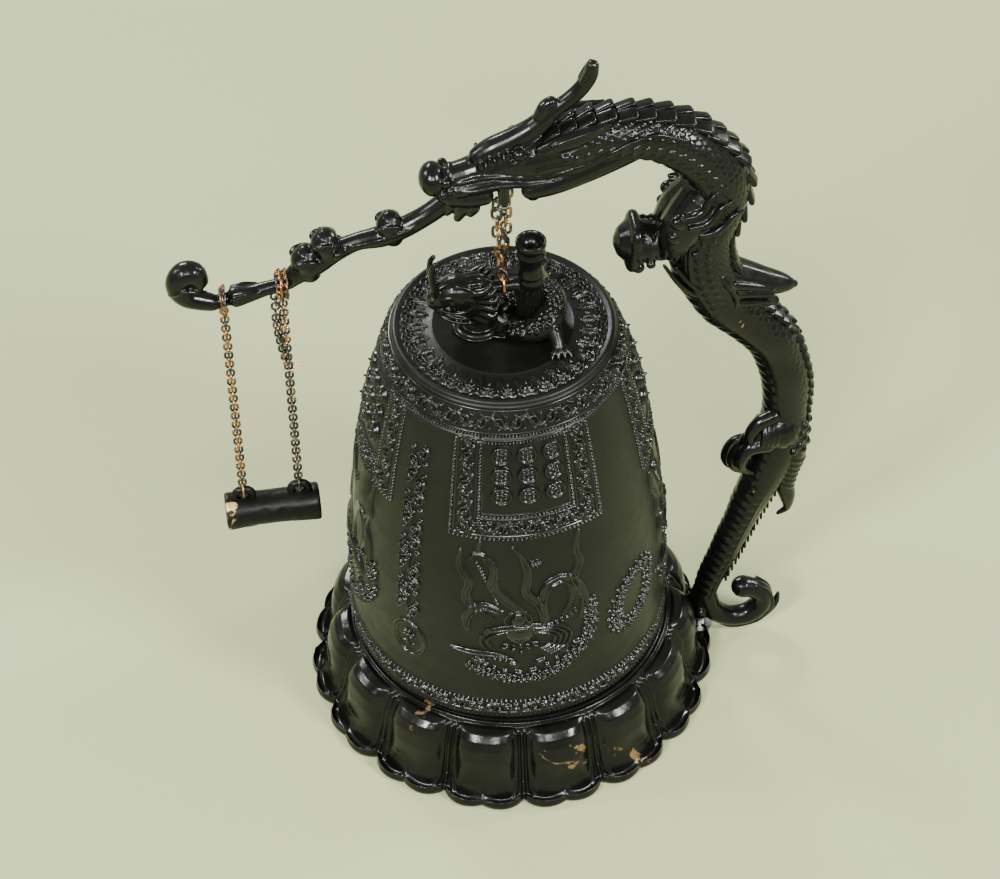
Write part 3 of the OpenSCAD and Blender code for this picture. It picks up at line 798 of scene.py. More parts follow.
def flying_figure(name, azimuth):
    """A kneeling figure on a lotus cloud, with ribbons streaming up; its face is a plain oval."""
    middle = azimuth / 180 * np.pi * NOMINAL_R
    relief = Relief(middle - 26, middle + 27, 54, 131, 0.28)

    def at(points):
        return [(middle + u, v) for u, v in points]

    def ribbon(points, width=1.1, height=0.62):
        """Two fine edges of a band of cloth."""
        p = smooth_line(at(points), 1.5)
        t = np.gradient(p, axis=0)
        t /= np.linalg.norm(t, axis=1)[:, None]
        side = np.stack([-t[:, 1], t[:, 0]], 1) * np.sin(np.linspace(0.1, 2.6, len(p)))[:, None]
        for sign in (-1, 1):
            relief.stroke(p + sign * width * side, 0.44, height * 1.15, 0.6, curve=False)
        relief.stroke(p, width * 0.8, height * 0.3, 0.4, curve=False)

    ribbon([(-20, 124), (-20.5, 117), (-17, 109), (-18, 101), (-13, 94), (-9, 90)])
    ribbon([(-13.5, 129), (-14, 124), (-9, 117), (-9.5, 108), (-5, 101), (-1, 95), (1, 88)], 1.3)
    ribbon([(-3, 127), (0, 122), (2, 113), (1, 105), (5, 98), (6.5, 91), (6, 85)], 1.2)
    ribbon([(20, 129), (18.5, 120), (19.5, 114), (17, 107), (19.5, 100), (20.5, 92), (19, 84)], 1.0)
    loop = [(8, 89), (6.5, 97), (7.5, 105), (12, 108.5), (16.5, 105), (17, 97), (13.5, 89)]
    ribbon(loop, 1.5, 0.75)
    ribbon([(-17.5, 83), (-17.5, 92), (-12.5, 97.5), (-6.5, 94.5)], 1.4, 0.7)
    relief.beads(at([(-14.5, 119), (-12, 112), (-9.5, 105), (-8, 99)]), 1.5, 0.55, 0.75)
    relief.arc(middle - 14, 121, 2.2, 2.4, 10, 170, 0.6, 0.9)
    relief.flower(middle + 4.6, 118, 2.0, 0.7, 5)
    relief.bead(middle - 1.5, 90.5, 2.5, 1.35, 1.12, 1.4)
    relief.bead(middle - 1.5, 93.6, 1.5, 1.2)
    relief.arc(middle - 1.5, 90.5, 4.2, 4.6, -30, 210, 0.4, 0.6)
    for width, height in ((4.6, 1.0), (3.2, 1.3)):
        relief.bead(middle - 1, 83, width, height, 1.25, 1.45)
    for ru, rv in ((14.5, 9.5), (12.8, 8.1), (11, 6.7), (9.2, 5.2)):
        relief.arc(middle + 1, 78, ru, rv, -60, 95, 0.42, 0.75, 0.6)
    for ru, rv in ((11.5, 7.5), (9.5, 6)):
        relief.arc(middle - 2, 79, ru, rv, 85, 215, 0.45, 0.85, 0.6)
    relief.stroke(at([(-12, 84), (-6, 86.2), (2, 86.5), (9, 84.5)]), 0.75, 1.15, 0.5)
    relief.beads(at([(9, 86), (13, 87.5), (17, 90)]), 1.5, 0.75, 1.0)
    for u, v, angle in ((-6, 76.5, 0.5), (-3.4, 75.4, 1.0), (-1, 77.6, 1.5), (1.6, 75.6, 2.1),
            (4, 76.8, 2.6), (-0.8, 73.6, 1.5)):
        relief.bead(middle + u, v, 0.75, 1.25, 2.0, angle)
    relief.stroke(at([(-23, 72.8), (-17, 71.8), (-10, 71.6), (-5, 70.4)]), 0.75, 1.0, 0.3)
    relief.beads(at([(-14, 71), (-9, 69.8), (-4, 68.6)]), 1.5, 0.8, 1.1)
    cloud = smooth_line([(-16, 64), (-9, 59.5), (0, 57.5), (9, 59.5), (15, 65), (20, 72),
        (22.5, 80), (21.5, 88)], 4.6)
    for k, (u, v) in enumerate(cloud):
        relief.flower(middle + u, v, 2.5, 1.0 + 0.25 * (k % 2), 6, k * 0.5)
        inner = 3.9
        relief.bead(middle + u - inner * np.sin(k * 0.4 - 0.6) * 0.5, v + inner, 1.0, 0.9, 1.7,
            k * 0.7)
        relief.bead(middle + u + 2.3, v - 1.2, 0.9, 0.8, 1.4, k * 1.1)
    for u, v, turn in ((-14, 67, 0.2), (-3, 66, -0.7), (5, 66.5, 0.6), (13, 71, 0.9)):
        relief.bead(middle + u, v, 1.15, 0.95, 2.1, turn)
    verts, faces = sheet_mesh(relief, on_wall)
    build(name, verts, faces, bell_relief_painted_highlight, "bell", "bell_bronze")


make_bell()
shoulder_band()
lower_band()
lotus_ring()
for side, azimuth in (("front", 0), ("right", 90), ("back", 180), ("left", -90)):
    boss_panel(f"bell_panel_{side}", azimuth)
    flying_figure(f"bell_figure_{side}", azimuth - 3)
wreath("bell_wreath_front", 44, 78, -0.32)
wreath("bell_wreath_back", 224, 78, -0.32)
cloud_column("bell_clouds_front", -47)
cloud_column("bell_clouds_back", 133)


# ---------------------------------------------------------------- the lotus base
def make_base():
    """One closed casting: dish, rim, petals, scalloped foot and hollow underside."""
    sides = PETALS * 72
    a = np.linspace(0, 2 * np.pi, sides, endpoint=False)
    cell = 2 * np.pi / PETALS
    # Share across a petal, -1 to 1, with a rib at both ends.
    start = math.radians(-191.3)
    across = 2 * (((a - start) / cell) % 1) - 1
    rows = []

    def ring(r, z):
        rows.append(np.stack([r * np.cos(a), r * np.sin(a), z + 0 * a], 1))

    edge = base_high[1] + 0.2
    lobes = 2.0 * np.abs(np.sin(np.pi * across)) ** 0.7 + 3.6 * (1 - np.abs(across) ** 3.4) ** 0.9
    foot_r = edge - 5.3 + lobes
    dish_z = RIM_Z - 7.5
    for r, z in ((0.01, dish_z), (30, dish_z), (52, dish_z + 0.2), (54, dish_z + 1.2),
            (56.2, RIM_Z - 0.6), (56.9, RIM_Z), (60, RIM_Z), (60.8, RIM_Z - 0.1),
            (61.1, RIM_Z - 0.45), (61.5, RIM_Z - 0.1), (62.1, RIM_Z), (62.5, RIM_Z - 0.4),
            (62.7, RIM_Z - 1.1)):
        ring(r, z)
    steps = 92
    marks = [0, .05, .12, .2, .3, .45, .6, .72, .82, .9, 1]
    for k in range(steps + 1):
        # Down the outside: share 0 under the rim, 1 at the edge of the foot. A petal's middle has a
        # fat shoulder, a waist and a flared foot; the ribs between petals lie deeper.
        s = k / steps
        middle_r = np.interp(s, marks, [62.9, 64.8, 67.8, 70.4, 72.3, 73.5, 73.9, 74.3, 75.5, 77.4,
            80])
        middle_z = np.interp(s, marks, [31.0, 31.7, 31.0, 28.9, 25.2, 19.2, 13.4, 9.2, 5.9, 4.2,
            3.6])
        rib_r = np.interp(s, [0, .1, .3, .5, .7, .85, 1], [62.9, 64.2, 67.6, 69.0, 70.6, 73.2,
            76.4])
        rib_z = np.interp(s, [0, .1, .3, .5, .7, .85, 1], [30.6, 29.4, 23.0, 15.8, 8.8, 4.8, 3.4])
        near = np.minimum(np.abs(across - 1), np.abs(across + 1))
        bulge = (1 - (1 - np.clip((near - 0.2) / 0.8, 0, 1)) ** 3) ** 0.62
        r = rib_r + (middle_r - rib_r) * bulge
        z = rib_z + (middle_z - rib_z) * bulge
        # Three fine ribs between the petals, close together at the waist and spread at the foot.
        spread = np.interp(s, [0, 0.12, 0.45, 0.75, 1], [0.17, 0.165, 0.15, 0.17, 0.33])
        rib = np.exp(-(near / 0.05) ** 2) * (1 if s < 0.82 else max(0, (1 - s) / 0.18))
        rib = rib + np.exp(-((near - spread) / 0.05) ** 2)
        r = r + 1.7 * rib * min(1, s * 14)
        z = z + 0.4 * rib * min(1, s * 14) * (s > 0.7)
        # The foot: two scoops in each petal, inside a raised border that follows the lobes.
        reach = np.clip((s - 0.66) / 0.34, 0, 1)
        r = r + (foot_r - r) * reach ** 1.5
        halves = np.abs(np.sin(np.pi * across)) ** 0.6
        z = z - 3.1 * np.sin(np.pi * np.clip((s - 0.68) / 0.27, 0, 1)) ** 1.3 * halves
        z = z + 0.9 * np.exp(-((s - 0.965) / 0.02) ** 2)
        rows.append(np.stack([r * np.cos(a), r * np.sin(a), z], 1))
    for drop, out in ((0.7, 0.3), (1.5, 0.42), (2.3, 0.25), (3.2, -0.2)):
        r = foot_r + out
        rows.append(np.stack([r * np.cos(a), r * np.sin(a), 3.5 - drop + 0 * a], 1))
    for r, z in ((72, 0.25), (70.6, 0.35), (70.1, 1.25), (67.5, 8), (65.5, 19), (61, 24),
            (50, 24.4), (48, dish_z - 4), (20, dish_z - 4), (0.01, dish_z - 4)):
        ring(r, z)
    verts = np.vstack(rows)
    faces = grid_faces(len(rows), sides, wrap_cols=True, wrap_rows=True)
    build("lotus_casting", verts, faces, base_black, "stand", "black_casting", ["lotus_base"])


make_base()


# ---------------------------------------------------------------- the dragon
# Middle line of the dragon's body from its tail foot to the back of its head: x, y, z, radius.
BODY = [(78, 0, 20, 4.6), (81, 0, 32, 5.2), (86, 0, 47, 5.8), (91, 0, 63, 6.2), (96, 0, 79, 7.2),
    (102, 0, 97, 8.4), (105, 0, 113, 8.6), (106, 0, 128, 8.6), (105, 0, 142, 9), (102, 0, 154, 9),
    (98, 0, 164, 9.4), (92, 0, 172, 9.4), (86, 0, 179, 9.8), (80, 0, 186, 10.2), (75, 0, 196, 10.8),
    (71, 0, 207, 11.2), (70, 0, 220, 11.2), (74, 0, 232, 10.9), (76, 0, 241, 10.8),
    (75, 0, 249, 10.8), (70, 0, 257, 10.4), (62, 0, 265, 10), (52, 0, 270, 9.5), (42, 0, 272, 9.4),
    (33, 0, 272, 9.4), (24, 0, 270, 9.2), (16, 0, 267.5, 8.5)]


def along(line):
    """Distance along a line at each of its points."""
    return np.concatenate([[0], np.cumsum(np.linalg.norm(np.diff(line[:, :3], axis=0), axis=1))])


def carved(points, step, sides, height):
    """A closed sweep along x, y, z, radius; height(distance, angle, radius) is added to its skin.

    The angle is 0 along the outside of the bend and negative towards -Y.
    """
    line = smooth_line(points, step)
    _, side, up = sections(line)
    gone = along(line)
    a = np.linspace(-np.pi, np.pi, sides, endpoint=False)
    r = line[:, 3, None] + height(gone[:, None], a[None, :], line[:, 3, None])
    ends = np.minimum(1, np.minimum(gone, gone[-1] - gone) / 2.5)
    r = r * np.sqrt(1 - (1 - ends[:, None]) ** 2 * 0.99)
    v = (line[:, None, :3] - (r * np.cos(a))[..., None] * side[:, None, :] + (r * np.sin(a))[...,
        None] * up[:, None, :])
    rows = len(line)
    faces = grid_faces(rows, sides, wrap_cols=True).tolist()
    n, base = rows * sides, (rows - 1) * sides
    faces += [[n, (i + 1) % sides, i] for i in range(sides)]
    faces += [[n + 1, base + i, base + (i + 1) % sides] for i in range(sides)]
    return np.vstack([v.reshape(-1, 3), line[0, :3], line[-1, :3]]), faces


def fade(value, low, high, soft):
    """1 between low and high, 0 outside, with soft edges."""
    return 1 / (1 + np.exp(-(value - low) / soft)) / (1 + np.exp((value - high) / soft))


def scale_rows(p, q, high):
    """Overlapping round scales, in rows counted by p towards the head and across by q."""
    best = np.zeros(np.broadcast(p, q).shape)
    for ahead in (0, 1):
        row = np.floor(p) + ahead
        shift = 0.5 * (row % 2)
        middle = np.round(q - shift) + shift
        reach = np.hypot((p - row) / 1.05, (q - middle) / 0.56)
        rise = (0.35 + 0.65 * (row - p)) * np.clip((1 - reach) * 5, 0, 1)
        best = np.maximum(best, rise)
    return high * best


def comma_rows(p, q, high):
    """Slanted rounded strokes, one in each cell."""
    row = np.floor(q)
    u = (p + 0.5 * (row % 2)) % 1 - 0.5
    v = q % 1 - 0.5
    reach = np.hypot((u * 0.8 + v * 0.6) / 0.5, (v * 0.8 - u * 0.6) / 0.17)
    return high * np.sqrt(np.clip(1 - reach ** 2, 0, 1))


def body_height(gone, angle, radius):
    """Scales, strokes, flank line and belly plates of the dragon's body."""
    deg = np.abs(np.degrees(angle))
    across = radius * np.abs(angle)
    marks = along(np.array(BODY, float))
    neck = fade(gone, marks[14], marks[26] + 9, 4)
    trunk = fade(gone, marks[4], marks[14], 5)
    tail = fade(gone, -9, marks[4], 5)
    upper = fade(deg, 14, 74, 2.5)
    h = scale_rows(gone / 2.05, across / 2.5, 0.62) * upper * (neck + 0.15 * trunk)
    h = h + scale_rows(gone / 2.6, across / 3.1, 0.5) * fade(deg, 12, 58, 5) * trunk
    h = h + comma_rows(gone / 4.2, (across - radius * 1.32) / 3.6, 0.75) * fade(deg, 77, 112,
        2) * neck
    h = h + 0.7 * np.exp(-((deg - 119) / 3.2) ** 2) * neck
    h = h + 0.4 * np.exp(-((deg - 127) / 2.2) ** 2) * neck
    plate = np.abs(np.sin(np.pi * gone / 5.6)) ** 0.55
    h = h + (0.8 * plate - 0.35) * fade(deg, 131, 400, 2) * (neck + 0.8 * trunk)
    ribs = np.abs(np.sin(np.pi * gone / 4.3)) ** 0.6
    h = h + (0.75 * ribs - 0.3) * fade(deg, 84, 400, 3) * tail
    h = h + 0.5 * np.exp(-((deg - 80) / 4.0) ** 2) * tail
    slow = np.sin(gone / 9.5 + 2.2 * np.sin(angle)) * np.sin(gone / 5.3 + 1.7 * angle)
    return h + 0.16 * slow - 0.1


def slab(centre, along_dir, out_dir, halves, power=0.35, rings=10, sides=24):
    """A rounded box with its long axis along one direction and its thickness along another."""
    x = np.array(along_dir, float) / np.linalg.norm(along_dir)
    z = np.array(out_dir, float) - x * (np.array(out_dir, float) @ x)
    z = z / np.linalg.norm(z)
    axes = np.stack([x, np.cross(z, x), z])
    unit, faces = ball((0, 0, 0), 1, rings, sides)
    shape = np.sign(unit) * np.abs(unit) ** power
    shape[:, 2] = np.sign(unit[:, 2]) * np.abs(unit[:, 2]) ** 0.8
    return shape * halves @ axes + np.array(centre, float), faces


def make_crest():
    """Two rows of overlapping slabs down the back, free ends towards the tail."""
    line = smooth_line(BODY, 0.5)
    t, side, up = sections(line)
    gone = along(line)
    marks = along(np.array(BODY, float))
    parts = []
    at = gone[-1] - 2
    while at > marks[1]:
        share = np.clip((at - marks[4]) / (marks[17] - marks[4]), 0, 1)
        pitch = 3.4 + 2.4 * share
        size = 0.5 + 0.5 * share
        k = np.searchsorted(gone, at)
        k = min(k, len(line) - 1)
        for hand in (-1, 1):
            tilt = math.radians(14) * hand
            out = -side[k] * math.cos(tilt) + up[k] * math.sin(tilt)
            foot = line[k, :3] + out * (line[k, 3] + 0.1 * size)
            way = -t[k] + out * 0.34
            centre = foot + way * 1.2 * size + hand * up[k] * 0.3
            parts.append(slab(centre, way, out, (4.1 * size, 2.6 * size, 1.15 * size)))
        at -= pitch
    return join(parts)


def mirror(points):
    return [(x, -y, z, *rest) for x, y, z, *rest in points]


def both(points, **named):
    """A bar and its mirror image across the dragon's plane."""
    return [bar(points, **named), bar(mirror(points), **named)]


def strokes_on(points, radius, y, **named):
    """A bar of even radius through x, z points at one distance from the plane, on both sides."""
    n = len(points)
    line = [(x, far, z, radius * (0.45 if i in (0, n - 1) else 1)) for i,
        ((x, z), far) in enumerate(zip(points, np.broadcast_to(y, n)))]
    return both(line, **named)


def make_head():
    parts = [bar([(36, 0, 271.6, 9.3), (22, 0, 269.4, 9.2), (12, 0, 266.8, 8.8), (4, 0, 266, 7.9),
        (-4, 0, 264, 6.8), (-12, 0, 261.4, 5.8), (-19, 0, 260, 5.2)], 20)]
    # Lower jaw: the throat side and the chin, with the chain's opening between them.
    for hand in (-1, 1):
        parts += [bar([(46, hand * 1, 267, 5.6), (36, hand * 3.4, 264.6, 5.6),
            (26, hand * 5, 261.4, 5.2), (16, hand * 6, 258.2, 4.6), (8.6, hand * 6.2, 256, 3.6)],
            14), bar([(-18, hand * 1.6, 253.6, 4.4), (-12, hand * 4, 254, 3.9),
            (-7.6, hand * 5, 254.4, 3.4)], 14), bar([(-17, hand * 4.2, 257.6, 3),
            (-8, hand * 5.6, 259.4, 2.8), (0, hand * 6, 260.6, 2.6), (8, hand * 6, 260.2, 2.8),
            (18, hand * 6, 260.6, 3)], 12), bar([(-1, hand * 6.3, 259, 2.4),
            (-1, hand * 6.5, 255.4, 2.2), (-1, hand * 6.6, 252.2, 2.3)], 12),
            ball((9.4, hand * 5.4, 253.6), (3.0, 2.6, 3.0))]
    parts += [ball((-24.8, 0, 260.6), (4.9, 6.4, 6.3)), ball((-20, 0, 254.6), (4.6, 4.6, 5)),
        bar([(40, 0, 263, 5.0), (30, 0, 260.4, 5.2), (20, 0, 257.6, 5.0), (12, 0, 255.6, 4.2)], 14)]
    # Nostrils, ribs on the snout and the ridge down its middle.
    for x, y, z, r in ((-20.6, 5.2, 262.6, 1.9), (-19.4, 5.6, 259, 1.7), (-21.8, 5.0, 257, 1.7),
            (-17, 5.2, 257.6, 1.6)):
        parts += [ball((x, y, z), r), ball((x, -y, z), r)]
    for k, x in enumerate((-18.2, -16, -13.8, -11.6)):
        z = 264.6 + 0.1 * k
        parts.append(bar([(x, -4.6, z - 2.6, 0.7), (x - 0.3, -2.4, z - 0.2, 0.9),
            (x - 0.4, 0, z + 0.3, 0.95), (x - 0.3, 2.4, z - 0.2, 0.9), (x, 4.6, z - 2.6, 0.7)], 8))
    # Brow with its bumps, the eye and the wavy lips.
    for x, z in ((-8.4, 267.8), (-5, 268.8), (-1.8, 270), (1.2, 271.2)):
        parts += strokes_on([(x - 0.4, z + 2.2), (x, z), (x + 0.2, z - 2.6)], 1.25, 4.9)
    parts += [ball((4.4, -6.2, 272.6), 2.1), ball((4.4, 6.2, 272.6), 2.1)]
    parts += strokes_on([(1.2, 270.4), (2.8, 269.8), (5.2, 270), (7.1, 271.6), (7.8, 274.4)], 0.65,
        7.3)
    parts += strokes_on([(-18, 261.2), (-13.1, 262.6), (-8.7, 263.8), (-1.7, 264.2), (7.1, 263.2),
        (15.9, 263.6), (27, 266.6), (34, 271.4)], 0.8, (5.0, 5.7, 6.3, 7.2, 7.9, 8.4, 8.9, 9.3))
    parts += strokes_on([(-19, 258.4), (-12, 259.4), (-5.8, 260.8), (2, 261), (10, 260.4),
        (20, 261.8), (32, 266)], 0.75, (5.8, 7.6, 8.3, 8.6, 8.7, 8.6, 8.5))
    parts += strokes_on([(20, 263.2), (28, 266.4), (36, 271), (44, 275.2), (52, 276), (60, 272.6),
        (66, 269.4)], 0.7, (8.7, 9.0, 9.3, 9.1, 8.2, 8.0, 7.4))
    parts += strokes_on([(10, 266.6), (16, 268.2), (22, 268.6), (30, 270.6)], 0.6, 8.8)
    # Ear: a long smooth hollow behind the eye between raised edges.
    for hand in (-1, 1):
        parts.append(bar([(12.6, hand * 6.2, 273, 2.4), (18.6, hand * 6.8, 275.8, 3.3),
            (26, hand * 6.6, 278, 3.3), (35, hand * 5.4, 280, 2.0)], 14, squeeze=0.8))
        for lift, far in ((2.3, 281.6), (-3.4, 276.6)):
            parts.append(bar([(12.4, hand * 8.0, 273, 0.6), (19, hand * 8.6, 275.6 + lift, 0.8),
                (27, hand * 8.2, 277.8 + lift, 0.8), (36, hand * 6.4, far, 0.5)], 8))
        parts.append(ball((21, hand * 9.4, 271.4), (2.6, 1.0, 1.3)))
    # Horn: a fat round root, a fine line under it, a knob at its bend and a blunt grooved tip.
    parts += [bar([(-8.2, 0, 268.4, 3.9), (-3.6, 0, 271.2, 4.3), (3, 0, 274.2, 4.2),
        (9.4, 0, 278, 3.8), (14.4, 0, 282.4, 3.4), (18.6, 0, 286, 3.0), (23, 0, 289.6, 2.8),
        (27, 0, 294, 2.8), (29.8, 0, 299, 2.8), (30.8, 0, 303, 2.3)], 20),
        bar([(13, 0, 283, 2.8), (14.6, 0, 287.4, 2.5), (16.6, 0, 289.2, 2.2)], 14)]
    parts += both([(-9, 3.6, 266.4, 0.5), (-4, 4.2, 269.2, 0.7), (4, 4.0, 272.6, 0.7),
        (12, 3.4, 278, 0.6), (17, 3.0, 283, 0.5)], sides=8)
    for y in (-1.1, 1.1):
        parts.append(bar([(26.4, y * 1.5, 297.6, 0.5), (28.6, y * 1.5, 301.6, 0.7),
            (30.2, y * 1.3, 304.6, 0.5)], 8))
    # Beard under the chin.
    for x, z, tip_x, tip_z, y in ((-19, 250.6, -20.4, 246.4, 2.2), (-15.6, 250.2, -16.8, 244.2,
            3.4), (-11.4, 251, -12.4, 246.6, 4.4)):
        for hand in (-1, 1):
            parts.append(bar([(x, hand * y, z, 2.6), ((x + tip_x) / 2 + 0.6, hand * y,
                (z + tip_z) / 2, 2.4), (tip_x, hand * y, tip_z, 1.6)], 12))
    return fuse("dragon_head", parts, 0.42, 1)


def cut_slot(piece, low, high):
    """Cuts a block of air out of a piece."""
    x, y, z = zip(low, high)
    corners = [(a, b, c) for a in x for b in y for c in z]
    faces = [[0, 1, 3, 2], [4, 6, 7, 5], [0, 4, 5, 1], [2, 3, 7, 6], [0, 2, 6, 4], [1, 5, 7, 3]]
    tool = make_mesh("slot_tool", corners, faces)
    cut = piece.modifiers.new("slot", "BOOLEAN")
    cut.operation = "DIFFERENCE"
    cut.solver = "EXACT"
    cut.object = tool
    graph = bpy.context.evaluated_depsgraph_get()
    made = bpy.data.meshes.new_from_object(piece.evaluated_get(graph))
    piece.modifiers.clear()
    old, piece.data = piece.data, made
    bpy.data.meshes.remove(old)
    bpy.data.objects.remove(tool)


def make_mane():
    """Locks behind the head, at the shoulder and round the fin."""
    parts = []
    for y, points in ((11.5, [(61, 238.6), (65.4, 238.8), (69, 241), (71, 245.4), (74.5, 249)]),
            (12.3, [(64, 234.6), (69, 235), (72, 237.4), (74.8, 241.4), (78.6, 244)]),
            (11.6, [(68, 229.6), (73, 230.4), (76.5, 233), (79.4, 236.6), (83, 238.4)])):
        line = [(x, y - 0.3 * k, z, r) for k, ((x, z), r) in enumerate(zip(points,
            (1.0, 1.5, 1.4, 1.1, 0.5)))]
        parts += both(line, sides=12)
    # The shoulder's swelling over the fore leg, with small curls on it.
    for hand in (-1, 1):
        parts += [bar([(70, hand * 2, 238, 9.4), (65, hand * 3.6, 232, 8.6),
            (62, hand * 3.4, 226, 8.2), (60, hand * 2, 220, 7.6)], 18), ball((60.4, hand * 9.4,
            235.2), (3.4, 2.4, 2.8)), ball((58.4, hand * 10.2, 228.6), (2.4, 1.8, 2.4)),
            ball((65.4, hand * 10.2, 226.4), (1.6, 1.2, 1.5)), ball((66.6, hand * 10.4, 219.8),
            (1.6, 1.2, 1.4))]
        parts += [bar([(56.4, hand * 6.8, 219.4, 0.7), (59, hand * 9.4, 221, 1.1),
            (63, hand * 10.2, 222, 0.8)], 8)]
    # The fin: a long smooth lock with ridges at its root, and a round one under it.
    parts += [bar([(76, 0, 201, 7.6), (82, 0, 198, 7.2), (88, 0, 195.4, 6.4), (94, 0, 192.8, 5.5),
        (100, 0, 190.8, 4.3), (104, 0, 189.6, 2.9), (106, 0, 189.2, 1.5)], 20),
        bar([(84, 0, 189, 6.8), (90, 0, 186, 5.8), (95, 0, 183.4, 4.2), (98.6, 0, 181.8, 2.4)], 18)]
    for root, bend, tip, y in (((72, 203.4), (84, 198.6), (97, 192.6), 8.2),
            ((73.4, 199), (84.6, 194.4), (97, 189.6), 8.2), ((75.6, 194.4), (86, 189.6), (96, 186),
            8.0), ((78.4, 190), (87, 185.4), (95, 182), 7.6)):
        parts += both([(root[0], y + 1.6, root[1], 0.9), (bend[0], y - 0.9, bend[1], 1.6),
            (tip[0], y - 3.4, tip[1], 0.8)], sides=10)
    parts += both([(76.6, 9.2, 205.6, 1.4), (79.4, 9.4, 201.6, 1.8), (81.4, 8.8, 197.4, 1.2)],
        sides=10)
    # Locks down the belly side under the shoulder.
    for points in ([(74.3, 208), (79, 202), (82.5, 194), (82.5, 187)], [(55.6, 214.8),
            (60.4, 206.6), (65.2, 200.4), (71.4, 195.6)], [(60, 213), (64.8, 205.6), (69.6, 199.6),
            (75, 194)], [(65, 212), (69.6, 205), (74, 199), (78, 192)]):
        line = [(x, y, z, r) for (x, z), y, r in zip(points, (9.0, 9.9, 9.5, 8.6),
            (0.7, 1.0, 0.95, 0.5))]
        parts += both(line, sides=10)
    return fuse("dragon_mane", parts, 0.42, 1)


def make_fore_leg():
    """The fore leg, cut square at its wide paw, with looped ridges over the wrist."""
    parts = [bar([(70, 0, 219, 8.6), (62, 0, 218.8, 8.0), (56, 0, 219, 7.4), (51, 0, 219.6, 7.8),
        (47.4, 0, 220, 8.8)], 22), slab((45.6, 0, 220.2), (0.14, 0, 1), (1, 0, 0), (10.2, 9.0, 2.8),
        0.55, 16, 32)]
    for hand in (-1, 1):
        for x, high, wide, radius in ((48.8, 5.6, 2.4, 1.1), (49.0, 2.8, 1.0, 0.9),
                (54.8, 5.4, 1.7, 0.9)):
            loop = []
            for b in np.linspace(-2.9, 2.9, 15):
                around = 0.35 + high * math.cos(b) / 8
                loop.append((x + wide * math.sin(b), hand * 8.5 * math.cos(around),
                    219.6 + 8.5 * math.sin(around), radius * (0.6 if abs(b) > 2.7 else 1)))
            parts.append(bar(loop, 8))
        parts += [ball((46.8, hand * 7.2, 213.4), (2.2, 1.8, 2.2)), ball((51.4, hand * 6.6, 213.6),
            (1.8, 1.4, 1.6)), bar([(59.6, hand * 7.2, 224, 0.7), (60.6, hand * 8.6, 219.6, 1.0),
            (59.6, hand * 7.8, 214.6, 0.7)], 8)]
    return fuse("dragon_fore_leg", parts, 0.4, 1)


def make_hind_leg():
    parts = [bar([(107, -1, 124, 7), (108.6, -1, 113, 7), (108.8, -1, 101, 6.4),
        (107.6, -1, 92, 5.2), (107.4, -1, 84, 4.2), (109.2, -1, 75, 3.2), (109.4, -1, 68, 1.6),
        (106, -1, 65, 0.8)], 18), ball((104, -3, 117), (8.2, 8.2, 9.4)), bar([(101, -4, 120, 5.6),
        (95.5, -5, 116, 4.6), (91, -5.4, 114, 3.4)], 14)]
    # Claws: an upper crescent and the toes of the paw below it.
    parts.append(bar([(100, -6.5, 127, 3.0), (94.6, -7.4, 125, 2.8), (91.2, -7.8, 119.6, 2.4),
        (92.6, -8, 114, 1.6), (95.6, -8, 112.6, 0.8)], 14))
    for x, y, z in ((90, -8, 110), (87.4, -5, 108), (86, -1.4, 106.4)):
        parts.append(bar([(x + 8, y, z + 3.4, 3.2), (x + 1, y - 0.6, z + 3, 3.0),
            (x - 2, y - 0.6, z - 3, 2.6), (x - 0.6, y, z - 9, 1.7), (x + 3, y, z - 12, 0.7)], 12))
    # Ribbed cuff between the paw and the thigh.
    for k in range(4):
        x = 95.4 + 1.9 * k
        loop = [(x + 0.35 * 7 * math.sin(b) * 0.5, -4 + 6.6 * math.cos(b),
            115.4 + 0.6 * k + 7.4 * math.sin(b), 0.75) for b in np.linspace(0, 2 * np.pi, 21)]
        parts.append(bar(loop, 8))
    # Clusters of scales on the thigh, then slanting ridges down the shank.
    for ring in range(5):
        for k in range(9):
            b = math.radians(-165 + 38 * k + 19 * (ring % 2))
            y, x = -1 + 6.9 * math.sin(b), 108.4 + 7.0 * math.cos(b)
            parts.append(ball((x, y, 119 - 3.1 * ring), (1.35, 1.35, 1.7), 5, 8))
    for k in range(6):
        z = 101 - 3.2 * k
        r = 6.1 - 0.42 * k
        x = np.interp(z, [68, 84, 92, 101], [109, 107.4, 107.6, 108.8])
        arc = [(x + r * math.cos(b), -1 + r * math.sin(b), z - 3.0 * math.cos(b),
            0.75 * (0.5 + 0.5 * math.sin(math.pi * (i + 0.5) / 9))) for i,
            b in enumerate(np.radians(np.linspace(-185, 5, 9)))]
        parts.append(bar(arc, 8))
    return fuse("dragon_hind_leg", parts, 0.4, 1)


